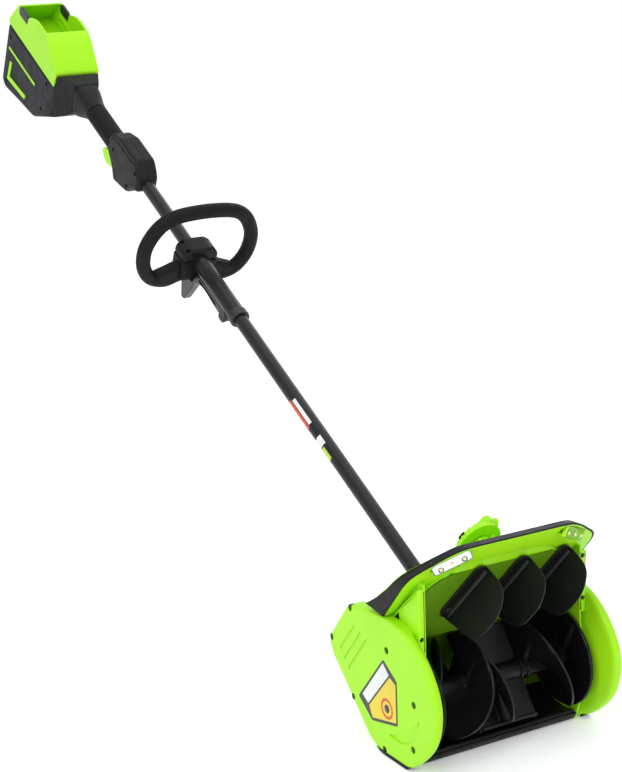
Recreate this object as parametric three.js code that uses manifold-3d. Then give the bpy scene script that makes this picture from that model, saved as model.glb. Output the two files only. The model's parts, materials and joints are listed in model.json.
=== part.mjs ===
// Cordless snow shovel: a powered auger head on a long boom, with a front hand loop and a battery handle.
// Units are millimetres. +Z is up, the tool works towards -Y, and X runs across it. The origin is the
// middle of the flat underside that the head stands on.

import * as THREE from 'three';
import { mergeVertices } from 'three/addons/utils/BufferGeometryUtils.js';
import Module from 'manifold-3d';

const wasm = await Module();
wasm.setup();

// ---------------------------------------------------------------- driving dimensions

const GAP = 0.3; // clearance left between neighbouring pieces
const DEG = Math.PI / 180;

const HEAD = {
  halfWidth: 168, // over the side covers
  coverInner: 151, // inner edge of each side cover
  wallInner: 138, // inner face of each side wall
  wallOuter: 141,
  wall: 3.5, // casing thickness
};
const AUGER = { y: -6, z: 97, radius: 76, core: 15, shaft: 6, sleeve: 6.3, halfLength: 134 };
const TROUGH = { radius: 84, wall: 4, lipAngle: -105, hoodAngle: 74 };
const PANEL = {
  lean: 27 * DEG, // forward lean of the panel under the hood from upright
  y: -4.4,
  z: 213.9, // line of the vane pivots on the front of the panel
  top: 82, // distance from that line up to the panel's top edge
  wall: 4,
};
const RIM = { lean: 42 * DEG, y: -84, z: 340, depth: 12, top: 342 }; // y,z is its front top edge
const LAMP = { x: 110, up: -32.5, turn: 28 * DEG, halfLength: 31, halfHeight: 9.5 };
const VANE = { pitch: 75, turn: 28 * DEG, crank: 16, pin: 3 };
const DIAL = { up: 66, radius: 37, from: 58, to: 76 }; // up the panel from the vane pivots, and behind it
const DRIVE = { motorY: 112, motorZ: 150, motorRadius: 35, motorPulley: 14, augerPulley: 48 };
const IDLER = { y: 78.5, z: 88.7, radius: 9 };
const BOOM = {
  angle: 29 * DEG, // boom above the ground
  y: 200,
  z: 208, // the boom's axis passes through this point, where its own length starts
  radius: 12.7,
  bore: 11.1,
  foot: -116, // the lower tube's end inside the head
  split: 742, // where the lower and upper tubes meet
  end: 1150,
};
const SLEEVE = { from: 640, to: 795, radius: 16.2, ring: 622 };
const LOOP = { s: 812, tube: 13.5, halfWidth: 109, top: 101, bottom: -33, clamp: [796, 832] };
const GRIP = { from: 1180.3, to: 1284, radius: 21 };
const BAY = { halfWidth: 47.5, rear: 1649, split: -6, nose: 1345 };

// ---------------------------------------------------------------- colours

function finish(name, color, roughness, metalness = 0) {
  const material = new THREE.MeshStandardMaterial({ color, roughness, metalness });
  material.name = name;
  return material;
}

const GREEN = finish('green_plastic', 0x9be01c, 0.42);
const BLACK = finish('black_plastic', 0x17181a, 0.5);
const CHARCOAL = finish('charcoal_plastic', 0x3a3a3d, 0.55);
const RUBBER = finish('soft_rubber', 0x2c2c2e, 0.85);
const TUBE = finish('boom_paint', 0x2b2c2f, 0.3, 0.5);
const STEEL = finish('steel', 0xa8abae, 0.35, 1);
const DARK_STEEL = finish('dark_steel', 0x3b3c3e, 0.4, 1);
const CHROME = finish('chrome', 0xe6e9ec, 0.1, 1);
const CLEAR = finish('clear_lens', 0xe9f2f5, 0.08);
const BELT = finish('belt_rubber', 0x161616, 0.9);
const BOARD = finish('circuit_board', 0x1c5a34, 0.6);
const COPPER = finish('copper', 0xb87333, 0.35, 1);

// ---------------------------------------------------------------- solids

// A closed manifold-3d solid of a three.js geometry.
function solid(geometry) {
  const bare = geometry.clone();
  bare.deleteAttribute('normal');
  bare.deleteAttribute('uv');
  const merged = mergeVertices(bare, 1e-4);
  return new wasm.Manifold(
    new wasm.Mesh({
      numProp: 3,
      vertProperties: Float32Array.from(merged.attributes.position.array),
      triVerts: Uint32Array.from(merged.index.array),
    })
  );
}

function join(first, ...others) {
  return others.reduce((whole, other) => whole.add(other), first);
}

function cut(body, ...tools) {
  return tools.reduce((rest, tool) => rest.subtract(tool), body);
}

function common(first, ...others) {
  return others.reduce((whole, other) => whole.intersect(other), first);
}

function mesh(name, body, material) {
  const data = body.getMesh();
  const geometry = new THREE.BufferGeometry();
  geometry.setAttribute('position', new THREE.BufferAttribute(data.vertProperties, 3));
  geometry.setIndex(new THREE.BufferAttribute(data.triVerts, 1));
  geometry.computeVertexNormals();
  const item = new THREE.Mesh(geometry, material);
  item.name = name;
  return item;
}

// Extrusions of a flat outline. The outline's two coordinates are the two axes that are left over, in
// the order Y,Z for an extrusion along X, X,Z along Y, and X,Y along Z.
function extrude(outline, from, to, detail = 8) {
  const options = { depth: to - from, bevelEnabled: false, curveSegments: detail };
  return new THREE.ExtrudeGeometry(outline, options).translate(0, 0, from);
}

function turnToX(geometry) {
  const swap = new THREE.Matrix4().set(0, 0, 1, 0, 1, 0, 0, 0, 0, 1, 0, 0, 0, 0, 0, 1);
  return geometry.applyMatrix4(swap);
}

function alongX(outline, from, to, detail) {
  return solid(turnToX(extrude(outline, from, to, detail)));
}

function alongY(outline, from, to, detail) {
  return solid(extrude(outline, -to, -from, detail).rotateX(Math.PI / 2));
}

function alongZ(outline, from, to, detail) {
  return solid(extrude(outline, from, to, detail));
}

// An extrusion along X whose two ends are rounded over by `round`.
function pillowX(outline, from, to, round, detail = 8) {
  const options = {
    depth: to - from - 2 * round,
    bevelThickness: round,
    bevelSize: round,
    bevelOffset: -round,
    bevelSegments: 3,
    curveSegments: detail,
  };
  return solid(turnToX(new THREE.ExtrudeGeometry(outline, options).translate(0, 0, from + round)));
}

function box(x0, x1, y0, y1, z0, z1) {
  const size = new THREE.BoxGeometry(x1 - x0, y1 - y0, z1 - z0);
  return solid(size.translate((x0 + x1) / 2, (y0 + y1) / 2, (z0 + z1) / 2));
}

function polygon(points) {
  return new THREE.Shape(points.map(([a, b]) => new THREE.Vector2(a, b)));
}

function disc(radius, a = 0, b = 0) {
  return new THREE.Shape().absarc(a, b, radius, 0, 2 * Math.PI);
}

function ring(outer, inner, a = 0, b = 0) {
  const outline = disc(outer, a, b);
  outline.holes.push(new THREE.Path().absarc(a, b, inner, 0, 2 * Math.PI));
  return outline;
}

function roundedRect(a0, a1, b0, b1, r) {
  const outline = new THREE.Shape();
  outline.moveTo(a0 + r, b0);
  outline.lineTo(a1 - r, b0);
  outline.absarc(a1 - r, b0 + r, r, -Math.PI / 2, 0);
  outline.lineTo(a1, b1 - r);
  outline.absarc(a1 - r, b1 - r, r, 0, Math.PI / 2);
  outline.lineTo(a0 + r, b1);
  outline.absarc(a0 + r, b1 - r, r, Math.PI / 2, Math.PI);
  outline.lineTo(a0, b0 + r);
  outline.absarc(a0 + r, b0 + r, r, Math.PI, 1.5 * Math.PI);
  return outline;
}

// The closed outline of a strip of even thickness to the left of an open line of points.
function strip(points, thickness) {
  const line = points.map(([a, b]) => new THREE.Vector2(a, b));
  const side = line.map((point, i) => {
    const before = line[Math.max(i - 1, 0)];
    const after = line[Math.min(i + 1, line.length - 1)];
    const incoming = point.clone().sub(before).normalize();
    const outgoing = after.clone().sub(point).normalize();
    const along = incoming.clone().add(outgoing).normalize();
    const reference = i === 0 ? outgoing : incoming;
    const stretch = 1 / Math.max(along.dot(reference), 0.5);
    return new THREE.Vector2(-along.y, along.x).multiplyScalar(thickness * stretch).add(point);
  });
  return new THREE.Shape([...line, ...side.reverse()]);
}

// The outline moved inwards by `distance`, for an outline drawn anticlockwise.
function inset(outline, distance, detail = 8) {
  const points = outline.getPoints(detail);
  const closed = points[0].distanceTo(points[points.length - 1]) < 1e-6;
  const line = closed ? points.slice(0, -1) : points;
  const moved = line.map((point, i) => {
    const before = line[(i + line.length - 1) % line.length];
    const after = line[(i + 1) % line.length];
    const incoming = point.clone().sub(before).normalize();
    const outgoing = after.clone().sub(point).normalize();
    const along = incoming.clone().add(outgoing).normalize();
    const stretch = distance / Math.max(along.dot(incoming), 0.5);
    return new THREE.Vector2(-along.y, along.x).multiplyScalar(stretch).add(point);
  });
  return new THREE.Shape(moved);
}

function arcPoints(a, b, radius, from, to, count) {
  return Array.from({ length: count + 1 }, (_, i) => {
    const angle = (from + ((to - from) * i) / count) * DEG;
    return [a + radius * Math.cos(angle), b + radius * Math.sin(angle)];
  });
}

// A lathe about the X axis, from a closed profile of [x, radius] points.
function latheX(profile, y = 0, z = 0, segments = 24) {
  const points = [...profile, profile[0]].map(([x, r]) => new THREE.Vector2(r, x));
  const geometry = new THREE.LatheGeometry(points, segments);
  return solid(geometry.rotateZ(-Math.PI / 2).translate(0, y, z));
}

function mirrorX(geometry) {
  const flipped = geometry.clone().scale(-1, 1, 1);
  const index = flipped.getIndex();
  for (let i = 0; i < index.count; i += 3) {
    const first = index.getX(i);
    index.setX(i, index.getX(i + 2));
    index.setX(i + 2, first);
  }
  return flipped;
}

// The same piece on the other side of the tool.
function mirrored(name, item) {
  const copy = new THREE.Mesh(mirrorX(item.geometry), item.material);
  copy.name = name;
  return copy;
}

// ---------------------------------------------------------------- local axes

// Axes turned about X: X stays across, local Y points out of the back and local Z runs up the surface.
function axes(lean, y, z) {
  const group = new THREE.Group();
  group.rotation.x = lean;
  group.position.set(0, y, z);
  group.updateMatrix();
  return group;
}

const panelAxes = () => axes(PANEL.lean, PANEL.y, PANEL.z);
const rimAxes = () => axes(RIM.lean, RIM.y, RIM.z);
const boomAxes = () => axes(BOOM.angle, BOOM.y, BOOM.z);

function moved(body, matrix) {
  return solid(mesh('moved', body, GREEN).geometry.applyMatrix4(matrix));
}

// A solid drawn in local axes, as a solid in the tool's axes, and the other way round.
function placed(frame, body) {
  return moved(body, frame.matrix);
}

function unplaced(frame, body) {
  return moved(body, frame.matrix.clone().invert());
}

// A group of solids drawn in the tool's axes or in local ones.
function assembly(frame, ...items) {
  frame.add(...items);
  return frame;
}

// An outline that is the same on both sides of the middle, from its right half listed bottom to top.
function symmetric(half) {
  const left = half.slice(0, -1).reverse();
  return polygon([...half, ...left.map(([x, z]) => [-x, z])]);
}

function smooth(points, count) {
  const curve = new THREE.SplineCurve(points.map(([a, b]) => new THREE.Vector2(a, b)));
  return curve.getPoints(count).map((p) => [p.x, p.y]);
}

// ---------------------------------------------------------------- head

// The side of the head, anticlockwise seen from +X: flat foot, slanted back, level top, round nose.
const NOSE_TOP = [[20, 219], [-20, 214], [-52, 201], [-82, 176], [-105, 140]];
const NOSE = [...NOSE_TOP, [-111, 102], [-98, 60], [-66, 24], [-30, 0]];
const HEEL = arcPoints(162, 132, 19, -45, 38, 5);
const BACK = [[30, 0], [42, 2], [70, 13], [171, 110], ...HEEL, [129, 202], [120, 208]];
const SIDE = polygon([...BACK, ...smooth(NOSE, 22)]);

// Outer and inner edges of the rim, in its own x,up axes: flat top, sloping shoulders, upright legs.
const SHOULDER = [[165, -55], [155, -43], [140, -31], [122, -16], [105, -5], [88, 0]];
const RIM_OUTER = [[168, -400], [168, -66], ...SHOULDER, [0, 0]];
const CORNER = [[134, -104], [118, -84], [98, -66], [74, -57], [40, -54]];
const RIM_INNER = [[141.3, -400], [141.3, -118], ...CORNER, [0, -53]];

// The trough behind the auger, which runs on upwards as the leaning panel under the hood.
function augerHousing() {
  const { radius, wall, lipAngle, hoodAngle } = TROUGH;
  const width = HEAD.wallInner - GAP;
  const lip = [AUGER.y - 26, 14.8];
  const trough = arcPoints(AUGER.y, AUGER.z, radius, lipAngle, hoodAngle, 24);
  const shell = alongX(strip([lip, ...trough], -wall), -width, width);
  const panel = box(-width, width, 0, PANEL.wall, -45, PANEL.top);
  const holes = [-1, 0, 1].map((k) => alongY(disc(5, k * VANE.pitch, 0), -5, PANEL.wall + 5));
  return mesh('auger_housing', join(shell, placed(panelAxes(), cut(panel, ...holes))), GREEN);
}

// Two shells that close the head behind the trough.
function rearCasing() {
  const width = HEAD.wallInner - GAP;
  const lowerLine = [[47, 7.5], [68, 18], [165, 112], [170, 120]];
  const upperLine = [[170.7, 121.3], [173, 130], [167, 143], [126, 197], [118, 203], [105, 206]];
  const socketHole = placed(boomAxes(), alongY(disc(21), -140, -20));
  const upper = alongX(strip(upperLine, HEAD.wall), -width, width);
  return [
    mesh('rear_casing_lower', alongX(strip(lowerLine, HEAD.wall), -width, width), GREEN),
    mesh('rear_casing_upper', cut(upper, socketHole), GREEN),
  ];
}

// The black strip along the bottom: its flat underside is what the head stands on.
function scraper() {
  const width = HEAD.wallInner - GAP;
  const line = [[-28, 0], [28, 0], [44, 4.3], [43, 7], [28, 3.5], [-26, 3.5], [-34.5, 14.4], [-38, 14.4]];
  return mesh('scraper', alongX(polygon(line), -width, width), BLACK);
}

// The line of the hood's back, from the rear casing up to the rim.
const HOOD_LINE = [[104, 206.5], [50, 247], [-6, 289], [-66, 337]];

// A side wall: a plate with a box-shaped cheek in front of the hood's rim.
function sideWall(name, ...extras) {
  const frontEdge = [[-44, 295], [-44, 165], [-52, 110], [-50, 50], [-32, 1.2]];
  const rear = [[30, 1.2], [44, 4], [70, 16], [167, 111], [173, 132], [126, 200]];
  const plate = alongX(polygon([...rear, ...HOOD_LINE, ...frontEdge]), HEAD.wallInner, HEAD.wallOuter);
  const cheekOutline = polygon([[40, 205], [-10, 260], [-44, 296], [-44, 176], [-20, 196]]);
  const cheek = alongX(cheekOutline, HEAD.wallInner, HEAD.coverInner - GAP);
  const pocket = alongX(inset(cheekOutline, 3), HEAD.wallOuter - 1, HEAD.coverInner - 3);
  const rimSpace = placed(rimAxes(), box(100, 200, -GAP, RIM.depth + GAP, -122, 60));
  const legSpace = placed(rimAxes(), box(HEAD.wallOuter, 200, -GAP, 200, -300, 60));
  const silhouette = placed(rimAxes(), alongY(inset(symmetric(RIM_OUTER), 4), -200, 400));
  const boxed = cut(cheek, pocket, box(141, 200, -30, 60, 180, 210));
  const holes = [alongX(disc(17, AUGER.y, AUGER.z), 130, 150), ...extras];
  return mesh(name, cut(common(join(plate, boxed), silhouette), rimSpace, legSpace, ...holes), GREEN);
}

// A hollow cover on the side of the head, open towards the side wall.
function sideCover(name, ...grooves) {
  const start = HEAD.wallOuter + GAP;
  const whole = pillowX(SIDE, start - 6, HEAD.halfWidth, 5, 6);
  const body = cut(whole, box(0, start, -300, 300, -10, 300), box(0, HEAD.coverInner, -300, 45, -10, 300));
  const cavity = alongX(inset(SIDE, 4), 0, HEAD.halfWidth - 5);
  const deeper = alongX(inset(SIDE, 9), 0, HEAD.halfWidth - 3);
  const rimSpace = placed(rimAxes(), box(100, 200, -GAP, RIM.depth + GAP, -300, 60));
  return mesh(name, cut(body, cavity, deeper, rimSpace, ...grooves), GREEN);
}

// Three slanted grooves near the back of the left cover.
function coverGrooves() {
  return [0, 1, 2].map((k) => {
    const reach = 33 + 5 * k;
    const groove = extrude(roundedRect(-reach, reach, -2.5, 2.5, 2.4), 166.4, 180, 3).rotateZ(-49.5 * DEG);
    return solid(turnToX(groove.translate(125 - 14.4 * k, 154 - 8.5 * k, 0)));
  });
}

function sides() {
  const motorHole = alongX(disc(12, DRIVE.motorY, DRIVE.motorZ), 130, 150);
  const idlerPin = alongX(disc(3.6, IDLER.y, IDLER.z), 139, 162);
  const leftWall = sideWall('wall', motorHole);
  const withPin = mesh('wall', join(solid(leftWall.geometry), idlerPin), GREEN);
  return [
    sideWall('right_side_wall'),
    mirrored('left_side_wall', withPin),
    sideCover('right_side_cover'),
    mirrored('left_side_cover', sideCover('cover', ...coverGrooves())),
  ];
}

// ---------------------------------------------------------------- hood

function lampSolid(side, shrink, front, back) {
  const a = LAMP.halfLength - shrink;
  const b = LAMP.halfHeight - shrink;
  const outline = roundedRect(-a, a, -b, b, b - 2.5);
  const body = extrude(outline, -back, -front, 3).rotateX(Math.PI / 2);
  return solid(body.rotateY(side * LAMP.turn).translate(side * LAMP.x, 0, LAMP.up));
}

function hood() {
  const { depth, top } = RIM;
  const frame = rimAxes();
  const between = (low, high) => unplaced(frame, box(-200, 200, -300, 300, low, high));
  const outer = common(alongY(symmetric(RIM_OUTER), 0, depth), between(221, top));
  const core = common(alongY(inset(symmetric(RIM_OUTER), 3), -5, depth + 5), between(100, top - 3));
  const face = common(alongY(inset(symmetric(RIM_OUTER), 3 + GAP), 0, depth), between(221, top - 3 - GAP));
  const opening = alongY(symmetric(RIM_INNER), -10, depth + 10);
  const lamps = [-1, 1].map((side) => lampSolid(side, 0, -8, depth + 4));
  const rim = mesh('hood_rim', cut(face, opening, ...lamps), GREEN);
  const items = [rim, mesh('hood_trim', cut(outer, core), BLACK)];
  for (const [side, name] of [[-1, 'left'], [1, 'right']]) {
    const bowl = cut(lampSolid(side, GAP, 3, depth), lampSolid(side, 3, 1, depth - 2.5));
    items.push(mesh(`${name}_headlight_lens`, lampSolid(side, GAP, 0.4, 2.7), CLEAR));
    items.push(mesh(`${name}_headlight_reflector`, bowl, CHROME));
  }
  return assembly(frame, ...items);
}

// The back of the hood, which covers the vane linkage and carries the dial's bearing.
function hoodBack() {
  const width = HEAD.wallInner - GAP;
  const line = alongX(strip([...HOOD_LINE], HEAD.wall), -width, width);
  const boss = placed(panelAxes(), alongY(disc(18, 0, DIAL.up), 27, DIAL.from - 1));
  const dialSpace = placed(panelAxes(), alongY(disc(50, 0, DIAL.up), DIAL.from - 1, 200));
  const bore = placed(panelAxes(), alongY(disc(7, 0, DIAL.up), 0, 100));
  const silhouette = placed(rimAxes(), alongY(inset(symmetric(RIM_OUTER), 4), RIM.depth + GAP, 400));
  return mesh('hood_back', cut(common(join(line, boss), silhouette), bore, dialSpace), GREEN);
}

// ---------------------------------------------------------------- vanes and their control

// A leaf-shaped blade standing on an oval plate, with a pin and a crank behind the panel. Drawn about its
// pivot, upright; `back` depths are behind the panel.
function vane(name, x) {
  const root = [[-7, -2], [95, -2]];
  const edge = [[96, -34], [90, -53], [60, -72], [26, -72], [14, -66], [7, -56]];
  const blade = alongX(polygon([...root, ...edge].map(flip)), -1.3, 1.3);
  const plate = alongY(roundedRect(-18, 12, -7, 95, 14.5), -3.3, -GAP, 4);
  const pin = alongY(disc(4.5), -1, 7.5, 5);
  const arm = alongY(roundedRect(-5.5, 5.5, -VANE.crank - 5.5, 5.5, 5.4), 4.6, 7.6, 3);
  const stud = alongY(disc(VANE.pin, 0, -VANE.crank), 7, 11.2, 4);
  return placedVane(name, x, 0, join(blade, plate, pin, arm, stud));
}

function flip([up, back]) {
  return [back, up];
}

function placedVane(name, x, up, body) {
  const item = mesh(name, body, BLACK);
  item.position.set(x, 0, up);
  item.rotation.y = VANE.turn;
  return item;
}

// The bar that joins the vane cranks to the dial's crank. Drawn with the cranks at rest.
function tieBar() {
  const x = -VANE.crank * Math.sin(VANE.turn);
  const up = -VANE.crank * Math.cos(VANE.turn);
  const rail = roundedRect(-VANE.pitch - 6, VANE.pitch + 6, -6, 6, 5.8);
  const stem = roundedRect(-6, 6, -4, DIAL.up + 6, 5.8);
  const pins = [[-VANE.pitch, 0], [0, 0], [VANE.pitch, 0], [0, DIAL.up]];
  const holes = pins.map(([a, b]) => alongY(disc(VANE.pin + GAP, a, b), 0, 20, 4));
  const whole = join(alongY(rail, 8, 11, 3), alongY(stem, 8, 11, 3));
  const item = mesh('vane_tie_bar', cut(whole, ...holes), STEEL);
  item.position.set(x, 0, up);
  return item;
}

function dial() {
  const { radius, from, to, up } = DIAL;
  const arm = alongY(roundedRect(-6, 6, -VANE.crank - 6, 6, 5.8), 11.5, 14.5, 3);
  const stud = alongY(disc(VANE.pin, 0, -VANE.crank), 7.9, 12, 4);
  const spindle = alongY(disc(6), 12, from + 2, 6);
  const wheel = alongY(disc(radius), from, from + 9, 10);
  const grips = Array.from({ length: 8 }, (_, k) => {
    const angle = ((k + 0.5) * Math.PI) / 4;
    return alongY(disc(5, 41 * Math.cos(angle), 41 * Math.sin(angle)), from - 1, from + 10, 4);
  });
  const fin = alongY(roundedRect(-8, 8, -26, 45, 7.5), from + 0.5, to, 4);
  return placedVane('direction_dial', 0, up, join(arm, stud, spindle, cut(wheel, ...grips), fin));
}

function vaneControl() {
  const vanes = [-1, 0, 1].map((k) => vane(`vane_${k + 2}`, k * VANE.pitch));
  const item = dial();
  item.material = GREEN;
  return assembly(panelAxes(), ...vanes, tieBar(), item);
}

// ---------------------------------------------------------------- auger

// A point on the auger at a radius and angle; 180 is straight ahead and 90 is up.
function augerPoint(x, radius, angle) {
  return [x, AUGER.y + radius * Math.cos(angle * DEG), AUGER.z + radius * Math.sin(angle * DEG)];
}

// A twisted ribbon between the core and the rim, through [x, angle] stations.
function ribbon(stations, turn, thickness = 4) {
  const curve = new THREE.SplineCurve(stations.map(([x, angle]) => new THREE.Vector2(x, angle + turn)));
  const steps = curve.getPoints(4 * (stations.length - 1));
  const [near, far] = [AUGER.core - 2, AUGER.radius];
  const corners = [[-0.5, near], [0.5, near], [0.5, far], [-0.5, far]];
  const corner = (p) => corners.map(([side, r]) => augerPoint(p.x + side * thickness, r, p.y));
  const points = steps.flatMap(corner);
  const faces = [[0, 2, 1], [0, 3, 2]];
  const last = 4 * (steps.length - 1);
  faces.push([last, last + 1, last + 2], [last, last + 2, last + 3]);
  for (let i = 0; i < steps.length - 1; i += 1) {
    for (let k = 0; k < 4; k += 1) {
      const [a, b] = [4 * i + k, 4 * i + ((k + 1) % 4)];
      faces.push([a, b, b + 4], [a, b + 4, a + 4]);
    }
  }
  const geometry = new THREE.BufferGeometry();
  geometry.setAttribute('position', new THREE.Float32BufferAttribute(points.flat(), 3));
  geometry.setIndex(faces.flat());
  return solid(geometry);
}

// A flat blade along the auger, standing on the core at one angle.
function paddle(angle) {
  const plate = box(-46, 54, AUGER.core - 3, AUGER.radius - 3, -2, 2);
  const lip = box(-46, 54, AUGER.radius - 5, AUGER.radius - 1, -7, 2);
  const turn = new THREE.Matrix4().makeRotationX(angle * DEG);
  return moved(join(plate, lip), turn.setPosition(0, AUGER.y, AUGER.z));
}

function auger() {
  const half = AUGER.halfLength;
  const opposite = [0, 180];
  const left = [[-46, 55], [-43, 130], [-49, 180], [-81, 250], [-half + 2, 330]];
  const right = [[52, 55], [57, 90], [68, 135], [100, 200], [half - 2, 260]];
  const web = [[-42, 130], [-30, 150], [-17, 180], [3, 225]];
  const leftRibbons = opposite.map((turn) => ribbon(left, turn));
  const rightRibbons = opposite.map((turn) => ribbon(right, turn));
  const webs = opposite.map((turn) => ribbon(web, turn));
  const paddles = opposite.map((turn) => paddle(55 + turn));
  const core = alongX(disc(AUGER.core, AUGER.y, AUGER.z), -half, half, 10);
  const discs = [-half, half - 3].map((x) => alongX(disc(AUGER.radius, AUGER.y, AUGER.z), x, x + 3, 14));
  const bore = alongX(disc(AUGER.sleeve, AUGER.y, AUGER.z), -200, 200, 8);
  const whole = cut(join(core, ...discs, ...leftRibbons, ...rightRibbons, ...webs, ...paddles), bore);
  const slice = (a, b) => common(whole, box(a, b, -200, 200, -50, 300));
  const flights = [
    mesh('auger_left_flight', slice(-half, -46), BLACK),
    mesh('auger_paddles', slice(-46 + GAP, 52), BLACK),
    mesh('auger_right_flight', slice(52 + GAP, half), BLACK),
  ];
  const shaft = alongX(disc(AUGER.shaft, AUGER.y, AUGER.z), -163.5, 149.5, 8);
  return [...flights, mesh('auger_shaft', shaft, STEEL)];
}

function bearings() {
  const race = (x) => alongX(ring(16.5, AUGER.sleeve, AUGER.y, AUGER.z), x, x + 9, 10);
  return [
    mesh('left_auger_bearing', race(-147), DARK_STEEL),
    mesh('right_auger_bearing', race(138), DARK_STEEL),
  ];
}

// ---------------------------------------------------------------- drive in the left pod

const BELT_FROM = -162;
const BELT_TO = -152;

// The outline round two circles, on the plane of the belt.
function beltOutline(extra) {
  const dy = DRIVE.motorY - AUGER.y;
  const dz = DRIVE.motorZ - AUGER.z;
  const direction = Math.atan2(dz, dy) / DEG;
  const wrap = Math.asin((DRIVE.augerPulley - DRIVE.motorPulley) / Math.hypot(dy, dz)) / DEG;
  const big = [direction + 90 - wrap, direction + 270 + wrap];
  const small = [direction - 90 + wrap, direction + 90 - wrap];
  return polygon([
    ...arcPoints(AUGER.y, AUGER.z, DRIVE.augerPulley + extra, big[0], big[1], 24),
    ...arcPoints(DRIVE.motorY, DRIVE.motorZ, DRIVE.motorPulley + extra, small[0], small[1], 12),
  ]);
}

function pulley(radius, bore, y, z, dishTo) {
  const profile = [[BELT_FROM, bore], [BELT_FROM, radius], [BELT_TO, radius], [BELT_TO, bore]];
  const groove = latheX(profile, y, z, 32);
  if (!dishTo) return groove;
  return cut(groove, alongX(ring(dishTo, bore + 8, y, z), BELT_FROM + 3, BELT_TO + 1, 12));
}

function drive() {
  const { motorY: y, motorZ: z, motorRadius: r } = DRIVE;
  const can = cut(alongX(disc(r, y, z), -137.5, -66, 12), alongX(disc(r - 2.5, y, z), -134.5, -60, 12));
  const motorCan = cut(can, alongX(disc(6, y, z), -140, -130, 8));
  const endCap = alongX(ring(r, 4.4, y, z), -65.7, -60, 12);
  const windings = alongX(ring(r - 2.8, 25, y, z), -126, -76, 12);
  const rotor = join(alongX(disc(22, y, z), -128, -74, 12), alongX(disc(4, y, z), -163.5, -58, 8));
  const loop = alongX(beltOutline(2.6), BELT_FROM + 1, BELT_TO - 1);
  const belt = cut(loop, alongX(beltOutline(GAP), -200, -100));
  const idler = pulley(IDLER.radius, 3.9, IDLER.y, IDLER.z, 0);
  return [
    mesh('auger_pulley', pulley(DRIVE.augerPulley, AUGER.sleeve, AUGER.y, AUGER.z, 40), BLACK),
    mesh('drive_belt', belt, BELT),
    mesh('idler_pulley', idler, STEEL),
    mesh('motor_can', motorCan, DARK_STEEL),
    mesh('motor_end_cap', endCap, BLACK),
    mesh('motor_windings', windings, COPPER),
    mesh('motor_rotor', rotor, STEEL),
    mesh('motor_pulley', pulley(DRIVE.motorPulley, 4.3, y, z, 0), STEEL),
  ];
}

// The circuit board that runs the motor and the lamps, on the right of the rear casing.
function controller() {
  const across = Math.atan2(94, 97);
  const frame = axes(across - Math.PI / 2, 104, 78);
  const board = box(30, 120, -1, 1, -26, 26);
  const spots = [[45, 12], [72, -10], [100, 8]];
  const parts = spots.map(([x, up]) => box(x - 9, x + 9, -9, 0, up - 9, up + 9));
  return assembly(frame, mesh('controller_board', join(board, ...parts), BOARD));
}

// ---------------------------------------------------------------- boom

// Solids along the boom's axis, in the boom's axes.
function tubeAlong(outer, inner, from, to, detail = 12) {
  return alongY(ring(outer, inner), from, to, detail);
}

function boomTubes() {
  const { foot, split, end, radius, bore } = BOOM;
  const boltSpace = alongX(disc(3.3, foot + 38, 0), -40, 40, 5);
  const heads = [-24, 20.3].map((x) => alongX(disc(6, foot + 38, 0), x, x + 3.7, 3));
  const bolt = join(alongX(disc(3, foot + 38, 0), -22, 22, 5), ...heads);
  const socket = join(tubeAlong(20, radius + GAP, foot + 1, -30), tubeAlong(29, radius + GAP, -57, -50));
  return [
    mesh('boom_socket', cut(socket, boltSpace), BLACK),
    mesh('socket_bolt', bolt, STEEL),
    mesh('lower_tube', cut(tubeAlong(radius, bore, foot + 1, split - 0.5), boltSpace), TUBE),
    mesh('upper_tube', tubeAlong(radius, bore, split + 0.5, end), TUBE),
    mesh('power_cable', alongY(disc(3, 0, -7.4), foot + 3, end - 2, 4), RUBBER),
  ];
}

// The sleeve that joins the two tubes, with the lever that clamps it.
function coupler() {
  const { from, to, radius, ring: end } = SLEEVE;
  const [pivotS, pivotN] = [from + 25, -27];
  const ears = [8.3, -13.5].map((x) => box(x, x + 5.2, from + 15, from + 36, -34, -8));
  const pin = alongX(disc(3, pivotS, pivotN), -12, 12, 5);
  const tubeSpace = alongY(disc(BOOM.radius + GAP), from - 1, to + 1, 12);
  const sleeve = join(cut(join(alongY(disc(radius), from, to, 12), ...ears), tubeSpace), pin);
  const underside = [[722, -46], [742, -58], [760, -74], [790, -99], [818, -101]];
  const topside = [[806, -84], [782, -66], [764, -46], [752, -36], [726, -24]];
  const heel = arcPoints(pivotS, pivotN, 7, 90, 270, 8);
  const lever = alongX(polygon([...underside, ...topside, ...heel]), -7.8, 7.8);
  return [
    mesh('coupler_sleeve', sleeve, TUBE),
    mesh('coupler_end_ring', tubeAlong(18.5, BOOM.radius + GAP, end, from - GAP), BLACK),
    mesh('coupler_lever', cut(lever, alongX(disc(3.3, pivotS, pivotN), -30, 30, 8)), BLACK),
  ];
}

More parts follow.
